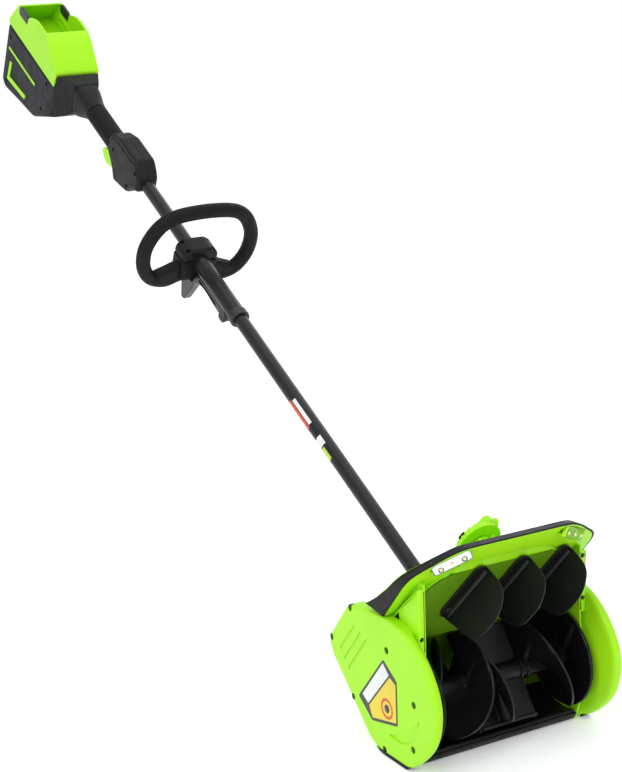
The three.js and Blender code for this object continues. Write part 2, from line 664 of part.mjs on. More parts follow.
// The front hand loop: a rounded rectangle across the boom, standing on a clamp with its own cap.
function frontLoop() {
  const { s, tube, halfWidth: w, top, bottom, clamp } = LOOP;
  const lower = [[30, bottom - 5], [58, bottom - 14], [86, bottom - 5], [w - 5, -12]];
  const half = [...lower, [w, 22], [w - 7, 52], [84, top - 21], [55, top - 5]];
  const other = half.map(([x, n]) => [-x, n]).reverse();
  const line = [[0, bottom], ...half, [0, top], ...other];
  const path = line.map(([x, n]) => new THREE.Vector3(x, s, n));
  const curve = new THREE.CatmullRomCurve3(path, true, 'centripetal');
  const loop = solid(new THREE.TubeGeometry(curve, 48, tube, 10, true));
  const tubeSpace = alongY(disc(BOOM.radius + GAP), 700, 900, 12);
  const saddle = box(-27, 27, clamp[0], clamp[1], -42, 8);
  const cap = common(alongY(disc(27), clamp[0], clamp[1], 12), box(-30, 30, 700, 900, 8 + GAP, 40));
  return [
    mesh('front_loop_handle', cut(join(loop, saddle), tubeSpace), RUBBER),
    mesh('loop_clamp_cap', cut(cap, tubeSpace), BLACK),
  ];
}

// ---------------------------------------------------------------- rear handle

// Two shells of one hollow pod that meet on the middle plane.
function splitPod(name, shell) {
  const left = common(shell, box(-200, -GAP / 2, 900, 1800, -300, 200));
  const right = common(shell, box(GAP / 2, 200, 900, 1800, -300, 200));
  return [mesh(`left_${name}`, left, CHARCOAL), mesh(`right_${name}`, right, CHARCOAL)];
}

function triggerHousing() {
  const under = [[1034, -14], [1048, -18], [1078, -43], [1135, -55], [1150, -33], [1172, -16], [1180, -8]];
  const over = [[1180, 18], [1172, 30], [1135, 42], [1061, 42], [1044, 27], [1034, 14]];
  const outline = polygon([...under, ...over]);
  const shell = cut(pillowX(outline, -22, 22, 6), pillowX(inset(outline, 3), -19, 19, 4));
  const tubeSpace = alongY(disc(BOOM.radius + GAP), 1000, 1300, 12);
  const triggerSpace = box(-7.5, 7.5, 1128, 1200, -70, -9);
  const switchBody = box(-9, 9, 1084, 1116, -36, -17);
  return [
    ...splitPod('trigger_housing', cut(shell, tubeSpace, triggerSpace)),
    mesh('trigger_switch', switchBody, BLACK),
    mesh('trigger', trigger(), GREEN),
  ];
}

function trigger() {
  const front = [[1158, -24], [1164, -40], [1178, -56], [1200, -60], [1218, -54], [1225, -42]];
  const back = [[1215, -33], [1179, -25], [1176, -17], [1162, -17]];
  return alongX(polygon([...front, ...back]), -6.5, 6.5);
}

// A pod cut to one side view and one plan view.
function podShape(side, plan, round) {
  return common(pillowX(side, -48, 48, round), alongZ(plan, -300, 200));
}

function rearGrip() {
  const { from, to, radius } = GRIP;
  const nose = BAY.nose - GAP;
  const side = polygon([[to + GAP, -radius], [nose, -40], [nose, 27], [to + GAP, radius]]);
  const plan = polygon([[-radius, to + GAP], [radius, to + GAP], [26, nose], [-26, nose]]);
  const [narrow, near, far] = [radius - 4, to - 5, nose + 5];
  const innerSide = polygon([[near, -narrow], [far, -36], [far, 23], [near, narrow]]);
  const innerPlan = polygon([[-narrow, near], [narrow, near], [22, far], [-22, far]]);
  const neck = cut(podShape(side, plan, 1), podShape(innerSide, innerPlan, 1));
  return [mesh('rear_grip', tubeAlong(radius, 16, from, to), RUBBER), mesh('handle_neck', neck, CHARCOAL)];
}

function batteryHousing() {
  const { nose, rear, split } = BAY;
  const under = [[nose, -40], [1380, -68], [1474, -128], [1552, -140], [1630, -154], [rear, -143]];
  const side = polygon([...under, [rear, split - GAP], [1398, split - GAP], [1394, 24], [nose, 27]]);
  const half = [[26, nose], [45, 1394], [48, 1420], [48, rear + 5]];
  const plan = polygon([...half, ...half.map(([x, s]) => [-x, s]).reverse()]);
  const inner = common(pillowX(inset(side, 3.5), -44.5, 44.5, 5), alongZ(inset(plan, 3.5), -300, 200));
  const inlayLine = [[1613, -79], [1617, -124], [1520, -114]];
  const inlay = mesh('right_inlay', alongX(strip(inlayLine, -9), 48 + GAP, 50), GREEN);
  return [
    ...splitPod('battery_housing', cut(podShape(side, plan, 6), inner)),
    inlay,
    mirrored('left_inlay', inlay),
  ];
}

// The open-topped bay that the battery slides into from behind.
function batteryBay() {
  const { rear, split, halfWidth: w } = BAY;
  const notch = [[1612, 57], [1607, 57], [1606, 40], [1559, 40]];
  const rim = [...notch, [1557, 60], [1521, 75], [1466, 75], [1395, 25]];
  const side = polygon([[1399, split], [rear - 0.5, split], [rear - 0.5, 4], ...rim]);
  const cavity = [[1404, 1], [1644, 1], [1606, 55], [1606, 120], [1474, 120], [1474, 72], [1404, 24]];
  const bay = cut(alongX(side, -w, w), alongX(polygon(cavity), 5 - w, w - 5));
  const blades = [-12, -4, 4, 12].map((x) => box(x - 0.6, x + 0.6, 1430, 1452, 4, 12));
  const block = join(box(-20, 20, 1412, 1432, 1 + GAP, 15), ...blades);
  const latch = alongX(roundedRect(1560, 1605, 40 + GAP, 60, 9), w - 5, w + 0.3, 4);
  const rightLatch = mesh('right_latch', latch, BLACK);
  return [
    mesh('battery_bay', bay, GREEN),
    mesh('battery_terminal_block', block, BLACK),
    rightLatch,
    mirrored('left_latch', rightLatch),
  ];
}

// ---------------------------------------------------------------- the whole tool

const shovel = new THREE.Group();
shovel.name = 'cordless_snow_shovel';
shovel.add(augerHousing(), ...rearCasing(), scraper(), ...sides(), hood(), hoodBack(), vaneControl());
shovel.add(...auger(), ...bearings(), ...drive(), controller());
const handles = [frontLoop(), triggerHousing(), rearGrip(), batteryHousing(), batteryBay()].flat();
shovel.add(assembly(boomAxes(), ...boomTubes(), ...coupler(), ...handles));
export default shovel;
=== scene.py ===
import json
import math

import bmesh
import bpy
from mathutils import Euler, Matrix, Vector


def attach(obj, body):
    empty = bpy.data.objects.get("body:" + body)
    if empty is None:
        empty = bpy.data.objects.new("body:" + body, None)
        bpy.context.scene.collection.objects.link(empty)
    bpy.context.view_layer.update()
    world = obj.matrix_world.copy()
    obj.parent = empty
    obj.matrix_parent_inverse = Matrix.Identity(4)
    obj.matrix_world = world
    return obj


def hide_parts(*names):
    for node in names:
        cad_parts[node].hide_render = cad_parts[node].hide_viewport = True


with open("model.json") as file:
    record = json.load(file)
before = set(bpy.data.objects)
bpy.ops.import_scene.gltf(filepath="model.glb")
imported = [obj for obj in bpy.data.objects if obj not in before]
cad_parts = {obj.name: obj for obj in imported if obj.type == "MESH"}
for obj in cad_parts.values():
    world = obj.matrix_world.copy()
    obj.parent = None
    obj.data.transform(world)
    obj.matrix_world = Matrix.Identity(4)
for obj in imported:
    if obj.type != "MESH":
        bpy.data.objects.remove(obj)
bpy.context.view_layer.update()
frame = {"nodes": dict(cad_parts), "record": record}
NODES = frame["nodes"]

# Local sizes are in millimetres; MM turns them into the frame's metres.
MM = 0.001
DEG = math.pi / 180

# ---------------------------------------------------------------- dimensions shared with the frame

AUGER = {"y": -6, "z": 97, "half_length": 134}
TROUGH = {"inner": 84, "outer": 88, "half_width": 137.7}
RIM = {"lean": 42, "y": -84, "z": 340}
PANEL = {"lean": 27, "y": -4.4, "z": 213.9, "top": 82}
LAMP = {"x": 113, "up": -18, "turn": 30.5, "half_length": 31}
BOOM = {"angle": 29, "y": 200, "z": 208, "radius": 12.7, "bore": 11.1}
TUBES = {"foot": -116, "split": 742, "end": 1150}  # along the boom
SLEEVE = {"from": 640, "to": 795, "radius": 16.2, "ring": 622}
LOOP = {"at": 812, "tube": 13.4, "clamp_from": 793, "clamp_to": 835}
GRIP = {"from": 1180.3, "to": 1284, "radius": 21}
BAY = {"half_width": 47.5, "rear": 1649, "split": -6, "nose": 1345}
WALL = {"inner": 138, "outer": 141, "cheek": 150.6}  # each side wall's faces, out from the middle
CASING = 3.5  # thickness of the rear shells
SHOE = {"inner": 151, "outer": 167.4}
SIDES = ((-1, "left"), (1, "right"))
VANE_TURN = 28
VANE_PITCH = 75
DIAL = {"up": 66, "radius": 37, "from": 58, "to": 76}


def shifted(x, y, z):
    return Matrix.Translation(Vector((x, y, z)) * MM)


def tilted(lean, y, z):
    """Axes turned about X: local Y points out of the back and local Z runs up the surface."""
    return shifted(0, y, z) @ Matrix.Rotation(lean * DEG, 4, "X")


def spun(axes, x, back, up, angle):
    """The same axes moved along and turned about their local Y."""
    return axes @ shifted(x, back, up) @ Matrix.Rotation(angle * DEG, 4, "Y")


WORLD = Matrix.Identity(4)
BOOM_AXES = tilted(BOOM["angle"], BOOM["y"], BOOM["z"])  # local x, distance along the boom, height over it
RIM_AXES = tilted(RIM["lean"], RIM["y"], RIM["z"])
PANEL_AXES = tilted(PANEL["lean"], PANEL["y"], PANEL["z"])
DIAL_AXES = spun(PANEL_AXES, 0, 0, DIAL["up"], VANE_TURN)

# ---------------------------------------------------------------- outlines


def arc(a, b, radius, start, end, count):
    angles = [(start + (end - start) * i / count) * DEG for i in range(count + 1)]
    return [(a + radius * math.cos(t), b + radius * math.sin(t)) for t in angles]


def spline(points, per_span=6, closed=False):
    """Catmull-Rom points through the given ones, of any dimension."""
    count = len(points)
    spans = count if closed else count - 1

    def pick(i):
        return points[i % count] if closed else points[min(max(i, 0), count - 1)]

    line = []
    for i in range(spans):
        p0, p1, p2, p3 = (Vector(pick(i + k)) for k in (-1, 0, 1, 2))
        for j in range(per_span):
            t = j / per_span
            a = 2 * p1 + (p2 - p0) * t
            b = (2 * p0 - 5 * p1 + 4 * p2 - p3) * t * t
            line.append(tuple((a + b + (3 * p1 - p0 - 3 * p2 + p3) * t**3) / 2))
    return line if closed else line + [tuple(points[-1])]


def rounded_corners(points, radius, steps=4):
    """A closed outline with each corner cut by a smooth curve."""
    count = len(points)
    line = []
    for i in range(count):
        before, here, after = (Vector(points[k % count]) for k in (i - 1, i, i + 1))
        r = radius[i] if isinstance(radius, (list, tuple)) else radius
        reach = min(r, (before - here).length / 2.05, (after - here).length / 2.05)
        start = here + (before - here).normalized() * reach
        end = here + (after - here).normalized() * reach
        for j in range(steps + 1):
            t = j / steps
            line.append(tuple(start * (1 - t) ** 2 + here * 2 * t * (1 - t) + end * t * t))
    return line


def oblong(a0, a1, b0, b1, r, steps=5):
    corners = [(a1 - r, b1 - r, 0), (a0 + r, b1 - r, 90), (a0 + r, b0 + r, 180), (a1 - r, b0 + r, 270)]
    return [p for a, b, start in corners for p in arc(a, b, r, start, start + 90, steps)]


def circle(radius, a=0, b=0, count=32):
    return arc(a, b, radius, 0, 360, count)[:-1]


def inset(outline, distance):
    """A closed anticlockwise outline moved inwards."""
    count = len(outline)
    moved = []
    for i in range(count):
        before, here, after = (Vector(outline[k % count]) for k in (i - 1, i, i + 1))
        a, b = (here - before).normalized(), (after - here).normalized()
        along = (a + b).normalized()
        stretch = distance / max(along.dot(a), 0.5)
        moved.append((here.x - along.y * stretch, here.y + along.x * stretch))
    return moved


def anticlockwise(outline):
    area = sum(a[0] * b[1] - b[0] * a[1] for a, b in zip(outline, outline[1:] + outline[:1]))
    return outline if area > 0 else outline[::-1]


def towards(outline, centre, share):
    return [(a + (centre[0] - a) * share, b + (centre[1] - b) * share) for a, b in outline]


# ---------------------------------------------------------------- solids, as (points, faces) in millimetres

CORE = 0.01  # the radius that stands for the axis itself in a turned profile


def along(axis, outline, w):
    """A flat outline at one place on an axis. Its two coordinates are the two axes left over, in order."""
    if axis == "X":
        return [(w, a, b) for a, b in outline]
    if axis == "Y":
        return [(a, w, b) for a, b in outline]
    return [(a, b, w) for a, b in outline]


def loft(rings, closed=False):
    """A skin over rings of as many points each, capped unless the last ring meets the first."""
    size = len(rings[0])
    points = [p for ring in rings for p in ring]
    faces = []
    last = len(rings) if closed else len(rings) - 1
    for i in range(last):
        a, b = i * size, ((i + 1) % len(rings)) * size
        faces += [(a + k, a + (k + 1) % size, b + (k + 1) % size, b + k) for k in range(size)]
    if not closed:
        faces.append(tuple(range(size))[::-1])
        faces.append(tuple(range((len(rings) - 1) * size, len(rings) * size)))
    return points, faces


def prism(axis, outline, low, high):
    return loft([along(axis, outline, low), along(axis, outline, high)])


def pillow(axis, outline, low, high, radius, ends=(True, True), steps=4):
    """An extrusion with its ends rounded over. The outline runs anticlockwise."""
    rings = []
    turns = [90 * i / steps * DEG for i in range(steps + 1)]
    if ends[0]:
        rings += [(radius * (1 - math.sin(t)), low + radius * (1 - math.cos(t))) for t in turns]
    else:
        rings.append((0, low))
    if ends[1]:
        rings += [(radius * (1 - math.cos(t)), high - radius * (1 - math.sin(t))) for t in turns]
    else:
        rings.append((0, high))
    return loft([along(axis, inset(outline, d) if d > 1e-6 else outline, w) for d, w in rings])


def lathe(axis, profile, a=0, b=0, segments=48):
    """A turned solid round an axis, from a closed profile of (along, radius)."""
    closed = profile[0][1] > CORE
    return loft([along(axis, circle(r, a, b, segments), w) for w, r in profile], closed=closed)


def rod(axis, low, high, radius, a=0, b=0, segments=48):
    return lathe(axis, [(low, CORE), (low, radius), (high, radius), (high, CORE)], a, b, segments)


def sweep(path, section, closed=False, up=(0, 0, 1)):
    """A section of (across, up) points, or one per path point, carried along a path."""
    points = [Vector(p) for p in path]
    count = len(points)
    rings = []
    for i, here in enumerate(points):
        before = points[i - 1] if closed or i else here
        after = points[(i + 1) % count] if closed or i < count - 1 else here
        forward = (after - before).normalized()
        side = forward.cross(Vector(up)).normalized()
        over = side.cross(forward)
        shape = section[i] if isinstance(section[0][0], (list, tuple)) else section
        rings.append([tuple(here + side * a + over * b) for a, b in shape])
    return loft(rings, closed=closed)


def mirror_x(shape):
    points, faces = shape
    return [(-x, y, z) for x, y, z in points], [tuple(reversed(f)) for f in faces]


def turned(shape, matrix):
    """A shape moved by a matrix whose offset is in metres."""
    points, faces = shape
    return [tuple((matrix @ (Vector(p) * MM)) / MM) for p in points], faces


# ---------------------------------------------------------------- meshes


def mesh_of(shapes, axes):
    bm = bmesh.new()
    for points, faces in shapes:
        made = [bm.verts.new(axes @ (Vector(p) * MM)) for p in points]
        for face in faces:
            bm.faces.new([made[k] for k in face])
    bmesh.ops.remove_doubles(bm, verts=bm.verts, dist=2e-6)
    bmesh.ops.recalc_face_normals(bm, faces=bm.faces)
    data = bpy.data.meshes.new("mesh")
    bm.to_mesh(data)
    bm.free()
    return data


def link(name, data):
    obj = bpy.data.objects.new(name, data)
    bpy.context.scene.collection.objects.link(obj)
    return obj


def bake(obj):
    """Applies an object's modifiers to its mesh."""
    view = bpy.context.evaluated_depsgraph_get()
    data = bpy.data.meshes.new_from_object(obj.evaluated_get(view))
    obj.modifiers.clear()
    obj.data = data


def drop_flaps(mesh):
    """Removes folded pairs of faces that share all their corners and enclose nothing."""
    work = bmesh.new()
    work.from_mesh(mesh)
    bmesh.ops.remove_doubles(work, verts=work.verts, dist=1e-6)
    groups = {}
    for face in work.faces:
        groups.setdefault(frozenset(corner.index for corner in face.verts), []).append(face)
    folded = [face for group in groups.values() if len(group) > 1 for face in group]
    bmesh.ops.delete(work, geom=folded, context="FACES")
    work.to_mesh(mesh)
    work.free()


def carve(obj, cutters, axes, operation="DIFFERENCE"):
    tool = link("cutter", mesh_of(cutters, axes))
    boolean = obj.modifiers.new("carve", "BOOLEAN")
    boolean.operation = operation
    boolean.object = tool
    boolean.solver = "EXACT"
    boolean.use_self = True
    bake(obj)
    drop_flaps(obj.data)
    bpy.data.objects.remove(tool)


def soften(obj, width, angle=35):
    """Rounds the sharp edges and shades the rest smooth."""
    for polygon in obj.data.polygons:
        polygon.use_smooth = True
    if width:
        bevel = obj.modifiers.new("soft_edges", "BEVEL")
        bevel.width = width * MM
        bevel.segments = 2
        bevel.limit_method = "ANGLE"
        bevel.angle_limit = angle * DEG
        bevel.use_clamp_overlap = True
    normals = obj.modifiers.new("face_normals", "WEIGHTED_NORMAL")
    normals.keep_sharp = True


PLAIN_EDGE = 0.8  # the rounding of an edge where nothing finer is called for


def finish_piece(obj, material, body, edge, slot=None, angle=35, stands_for=()):
    obj.data.materials.clear()
    obj.data.materials.append(material)
    soften(obj, edge, angle=angle)
    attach(obj, body)
    if stands_for:
        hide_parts(*stands_for)


def piece(name, shapes, material, body="frame", axes=WORLD, edge=PLAIN_EDGE, cuts=(), **more):
    """One object from closed shapes that may overlap, less its cuts."""
    obj = link(name, mesh_of(shapes, axes))
    if cuts:
        carve(obj, cuts, axes)
    finish_piece(obj, material, body, edge, **more)
    return obj


# ---------------------------------------------------------------- materials


def shader(name, colour, roughness, metallic=0.0, coat=0.0, specular=0.5):
    material = bpy.data.materials.new(name)
    material.use_nodes = True
    tree = material.node_tree
    bsdf = tree.nodes["Principled BSDF"]
    bsdf.inputs["Base Color"].default_value = (*colour, 1)
    bsdf.inputs["Roughness"].default_value = roughness
    bsdf.inputs["Metallic"].default_value = metallic
    bsdf.inputs["Coat Weight"].default_value = coat
    bsdf.inputs["Coat Roughness"].default_value = 0.1
    bsdf.inputs["Specular IOR Level"].default_value = specular
    return material, tree, bsdf


def node(tree, kind, inputs=None, **settings):
    item = tree.nodes.new(kind)
    for key, value in settings.items():
        setattr(item, key, value)
    for key, value in (inputs or {}).items():
        item.inputs[key].default_value = value
    return item


def noise(tree, scale, detail=3, stretch=(1, 1, 1)):
    """Noise over the object's own coordinates."""
    place = node(tree, "ShaderNodeTexCoord")
    size = node(tree, "ShaderNodeMapping")
    size.inputs["Scale"].default_value = stretch
    texture = node(tree, "ShaderNodeTexNoise", {"Scale": scale, "Detail": detail})
    tree.links.new(place.outputs["Object"], size.inputs["Vector"])
    tree.links.new(size.outputs["Vector"], texture.inputs["Vector"])
    return texture


def spread(tree, source, low, high):
    """The source's middle range turned into low to high."""
    limits = {"From Min": 0.3, "From Max": 0.7, "To Min": low, "To Max": high}
    mapped = node(tree, "ShaderNodeMapRange", limits)
    tree.links.new(source.outputs[0], mapped.inputs["Value"])
    return mapped


def moulded(name, colour, roughness, grain, depth, mottle=0.06, edge_lightening=0.0, stretch=(1, 1, 1), **more):
    """Moulded or painted stock: faint patches of tone and gloss, a fine grain, and lighter convex edges,
    which on the vane and auger plastics are a painted highlight.
    """
    material, tree, bsdf = shader(name, colour, roughness, **more)
    link_nodes = tree.links.new
    patches = noise(tree, 14, 2)
    tone = spread(tree, patches, 1 - mottle, 1 + mottle)
    tinted = node(tree, "ShaderNodeVectorMath", {0: colour}, operation="SCALE")
    link_nodes(tone.outputs[0], tinted.inputs["Scale"])
    last = tinted.outputs[0]
    # Lighter convex edges; on the vane and auger plastics this is a painted highlight.
    if edge_lightening:
        shape = node(tree, "ShaderNodeNewGeometry")
        limits = {"From Min": 0.53, "From Max": 0.62, "To Min": 0, "To Max": edge_lightening}
        edges = node(tree, "ShaderNodeMapRange", limits)
        edge_lightened = node(tree, "ShaderNodeMix", data_type="RGBA")
        edge_lightened.inputs["B"].default_value = (*[min(1, c * 1.9 + 0.05) for c in colour], 1)
        link_nodes(shape.outputs["Pointiness"], edges.inputs["Value"])
        link_nodes(edges.outputs[0], edge_lightened.inputs["Factor"])
        link_nodes(last, edge_lightened.inputs["A"])
        last = edge_lightened.outputs["Result"]
    link_nodes(last, bsdf.inputs["Base Color"])
    gloss = spread(tree, noise(tree, 55, 4), roughness * 0.86, min(1, roughness * 1.16))
    link_nodes(gloss.outputs[0], bsdf.inputs["Roughness"])
    fine = noise(tree, grain, 2, stretch)
    bump = node(tree, "ShaderNodeBump", {"Strength": depth, "Distance": 0.0004})
    link_nodes(fine.outputs[0], bump.inputs["Height"])
    link_nodes(bump.outputs[0], bsdf.inputs["Normal"])
    return material


GREEN = moulded("green_plastic", (0.34, 0.74, 0.006), 0.4, 700, 0.025, mottle=0.03, coat=0.04, specular=0.28)
# Painted shade: a darker copy of the green plastic for the trough and panel in the hood's shadow.
SHADED_GREEN = moulded("shaded_green", (0.1, 0.235, 0.003), 0.45, 700, 0.03, mottle=0.05, specular=0.2)
# Painted shade: a darker green for the insides of the screw wells.
SHADED_RECESS = moulded("screw_recess_shade", (0.06, 0.16, 0.004), 0.6, 700, 0.03)
BLACK = moulded("black_plastic", (0.0095, 0.0095, 0.0105), 0.3, 900, 0.04, mottle=0.12, edge_lightening=0.22)
TRIM = moulded("trim_plastic", (0.0075, 0.008, 0.0075), 0.5, 1100, 0.06, mottle=0.1, edge_lightening=0.05, specular=0.16)
# Vane plastic: its lighter edges are a painted highlight, and its faint green tint is a painted reflection of
# the green hood.
BLADE = moulded("vane_plastic", (0.006, 0.0072, 0.0062), 0.4, 800, 0.05, mottle=0.15, edge_lightening=0.5, specular=0.22)
# Auger plastic: its lighter edges are a painted highlight.
FLIGHT = moulded(
    "auger_plastic", (0.0055, 0.0055, 0.006), 0.3, 700, 0.03, mottle=0.15, edge_lightening=0.45, specular=0.2
)
CHARCOAL = moulded(
    "charcoal_plastic", (0.0085, 0.0085, 0.0095), 0.5, 1300, 0.09, mottle=0.07, edge_lightening=0.05, specular=0.17
)
RUBBER = moulded("soft_rubber", (0.0062, 0.0062, 0.0067), 0.58, 1500, 0.12, mottle=0.1, specular=0.15)
TUBE = moulded("boom_paint", (0.009, 0.009, 0.0098), 0.34, 1600, 0.03, coat=0.03, specular=0.26)
STEEL = moulded("steel", (0.45, 0.46, 0.48), 0.3, 400, 0.04, stretch=(0.1, 1, 1), metallic=1.0)
DARK_STEEL = moulded("dark_steel", (0.03, 0.03, 0.033), 0.38, 900, 0.05, metallic=0.9)
SCREW = moulded("screw_head", (0.02, 0.02, 0.022), 0.4, 600, 0.05, metallic=0.8)
CHROME = moulded("chrome", (0.86, 0.88, 0.9), 0.07, 200, 0.01, mottle=0.02, metallic=1.0)
LED = moulded("led", (0.9, 0.8, 0.35), 0.3, 300, 0.05)
BELT = moulded("belt_rubber", (0.012, 0.012, 0.012), 0.75, 1200, 0.1)
BOARD = moulded("circuit_board", (0.012, 0.1, 0.035), 0.35, 500, 0.05)
COPPER = moulded("copper", (0.55, 0.2, 0.04), 0.3, 300, 0.15, stretch=(0.1, 1, 1), metallic=1.0)
FILM_RED = moulded("red_film", (0.58, 0.06, 0.02), 0.4, 300, 0.01)
FILM_WHITE = moulded("white_film", (0.7, 0.71, 0.7), 0.42, 300, 0.01)
FILM_YELLOW = moulded("yellow_film", (0.72, 0.55, 0.02), 0.4, 300, 0.01)
FILM_LIME = moulded("lime_film", (0.4, 0.6, 0.05), 0.4, 300, 0.01)


def clear_plastic():
    material, tree, bsdf = shader("clear_lens", (0.93, 0.96, 0.97), 0.05, coat=0.6)
    bsdf.inputs["Transmission Weight"].default_value = 0.92
    bsdf.inputs["IOR"].default_value = 1.45
    gloss = spread(tree, noise(tree, 90, 2), 0.03, 0.08)
    tree.links.new(gloss.outputs[0], bsdf.inputs["Roughness"])
    return material


CLEAR = clear_plastic()

# Each material slot with the looks that wear it. The first look is the slot's own.
SLOT_LOOKS = {
    "green_plastic": (GREEN, SHADED_GREEN, SHADED_RECESS),
    "black_plastic": (BLACK, TRIM, BLADE, FLIGHT, FILM_RED, FILM_WHITE, FILM_YELLOW, FILM_LIME),
    "charcoal_plastic": (CHARCOAL,),
    "soft_rubber": (RUBBER,),
    "boom_paint": (TUBE,),
    "steel": (STEEL,),
    "dark_steel": (DARK_STEEL, SCREW),
    "chrome": (CHROME,),
    "clear_lens": (CLEAR, LED),
    "belt_rubber": (BELT,),
    "circuit_board": (BOARD,),
    "copper": (COPPER,),
}


def dress_frame_nodes():
    """Gives every frame node its slot's material and softened edges."""
    for entry in frame["record"]["subparts"]:
        obj = NODES[entry["node"]]
        obj.data.materials.clear()
        obj.data.materials.append(SLOT_LOOKS[entry["material_slot"]][0])
        soften(obj, PLAIN_EDGE)


dress_frame_nodes()

# ---------------------------------------------------------------- small fasteners


def torx_screw(radius, head):
    """A pan-head screw seen from outside: local Z is up out of the head."""
    dome = [(0, radius), (head * 0.6, radius * 0.86), (head, radius * 0.5)]
    reaches = [radius * (0.42 if k % 2 else 0.28) for k in range(12)]
    star = [(r * math.cos(30 * k * DEG), r * math.sin(30 * k * DEG)) for k, r in enumerate(reaches)]
    body = lathe("Z", [(-3, CORE), (-3, radius), *dome, (head, CORE)], segments=20)
    return body, prism("Z", star, head - 1.2, head + 1)


def screws(name, spots, axes=WORLD, radius=3.2):
    """Recessed screws at the given matrices, all in one mesh."""
    head, star = torx_screw(radius, 1.8)
    heads, stars = ([turned(shape, spot) for spot in spots] for shape in (head, star))
    piece(name, heads, SCREW, axes=axes, edge=0.15, cuts=stars)


def facing(x, y, z, direction):
    """A matrix whose Z looks along a direction."""
    turn = Vector(direction).to_track_quat("Z", "Y").to_matrix().to_4x4()
    return Matrix.Translation(Vector((x, y, z)) * MM) @ turn


# ---------------------------------------------------------------- side covers

NOSE = [(20, 219), (-20, 214), (-52, 201), (-82, 176), (-105, 140), (-110.7, 102)]
NOSE += [(-98, 60), (-66, 24), (-30, 0)]
COVER_CENTRE = (AUGER["y"], AUGER["z"])
COVER_SCREWS = [(16.5, 169.8), (-53.2, 109.9), (28.1, 8.7), (-49.3, 38.9)]
COVER_SCREWS += [(114, 62), (173, 139), (116.5, 204)]
COVER_FACE = 167.3
SCREW_SEAT = 160.8


def side_outline():
    back = [(30, 0.4), (42, 2), (70, 13), (120, 61), (171, 110)] + arc(162, 132, 19, -45, 38, 6)
    back += [(129, 202), (124, 206), (118, 208.5), (70, 216)]
    return back + spline(NOSE, 6)


def front_share(y):
    """0 behind the side wall's front edge, 1 in front of it."""
    t = min(max((-18 - y) / 26, 0), 1)
    return t * t * (3 - 2 * t)


def drawn_in(outline, back, front):
    """The outline moved towards the auger by one distance at the back and another in front."""
    ring = []
    for y, z in outline:
        f = front_share(y)
        reach = math.hypot(y - COVER_CENTRE[0], z - COVER_CENTRE[1])
        share = (back[0] * (1 - f) + front[0] * f) / reach
        x = back[1] * (1 - f) + front[1] * f
        ring.append((x, y + (COVER_CENTRE[0] - y) * share, z + (COVER_CENTRE[1] - z) * share))
    return ring


def cover_shape():
    """A hollow shell: dished towards the auger in front, a collar against the casing behind."""
    outline = side_outline()
    inside = [((9, 164.5), (14, 164.5)), ((3.4, 161), (8, 160)), ((3.4, 150), (30, 154))]
    inside += [((3.4, 142), (57, 143))]
    lip = [((3, 141.4), (60, 141.6)), ((0.6, 141.4), (45, 145.2)), ((0, 142), (26, 149.2))]
    lip += [((0, 144), (10, 151.5)), ((0, 147), (3.6, 153.2)), ((0, 150), (1.2, 155.6))]
    lip += [((0, 154), (0, 159)), ((0, 160), (0, 162))]
    rings = [drawn_in(outline, back, front) for back, front in inside + lip]
    for d, x in [(0.5, 164.2), (1.8, 165.9), (3.6, 166.8), (6.5, 167.1)]:
        rings.append(along("X", inset(outline, d), x))
    for share, x in [(0.12, 167.2), (0.3, 167.25), (0.6, COVER_FACE)]:
        rings.append(along("X", towards(inset(outline, 6.5), (30, 110), share), x))
    return loft(rings)


def crescent(width, rim):
    """The shallow thumb-shaped recess low on each cover, concentric with the auger."""
    y, z = COVER_CENTRE
    outer = arc(y, z, 62 - rim, 186, 290, 24)
    inner = []
    for k in range(1, 24):
        angle = (290 - 104 * k / 24) * DEG
        reach = 61.5 - rim - width * math.sin(math.pi * k / 24)
        inner.append((y + reach * math.cos(angle), z + reach * math.sin(angle)))
    return outer + inner


def cover_cutters(grooves):
    cutters = [prism("X", circle(5.6, y, z, 28), 161, 175) for y, z in COVER_SCREWS]
    cutters.append(loft([along("X", crescent(9, 1.2), 164.6), along("X", crescent(20, 0.2), 167.1),
                         along("X", crescent(22, 0), 172)]))
    cutters.append(prism("X", [(-60, -4), (70, -4), (54, 6.4), (-42, 6.4)], 150, 175))
    for k in range(grooves):
        groove = prism("X", oblong(-33 - 5 * k, 33 + 5 * k, -2.4, 2.4, 2.3), 165.9, 175)
        cutters.append(turned(groove, tilted(-49.5, 125 - 14.4 * k, 154 - 8.5 * k)))
    return cutters


def on_side(side, shapes):
    """Shapes drawn for the right side, or the same mirrored for the left."""
    return [mirror_x(shape) for shape in shapes] if side < 0 else list(shapes)


def side_cover(side, name):
    cutters = cover_cutters(grooves=3 if side < 0 else 0)
    piece(f"{name}_cover_shell", on_side(side, [cover_shape()]), GREEN, cuts=on_side(side, cutters), edge=0.6,
          stands_for=[f"{name}_side_cover"])
    well = [(160.4, CORE), (161, CORE), (161, 4.2), (166.2, 4.6), (166.2, 5.55), (160.4, 5.55)]
    wells = [lathe("X", well, y, z, 20) for y, z in COVER_SCREWS]
    # The screw wells are darker green, a painted shade in the recesses.
    piece(f"{name}_cover_screw_wells", on_side(side, wells), SHADED_RECESS, edge=0)
    screws(f"{name}_cover_screws", [facing(side * SCREW_SEAT, y, z, (side, 0, 0)) for y, z in COVER_SCREWS])


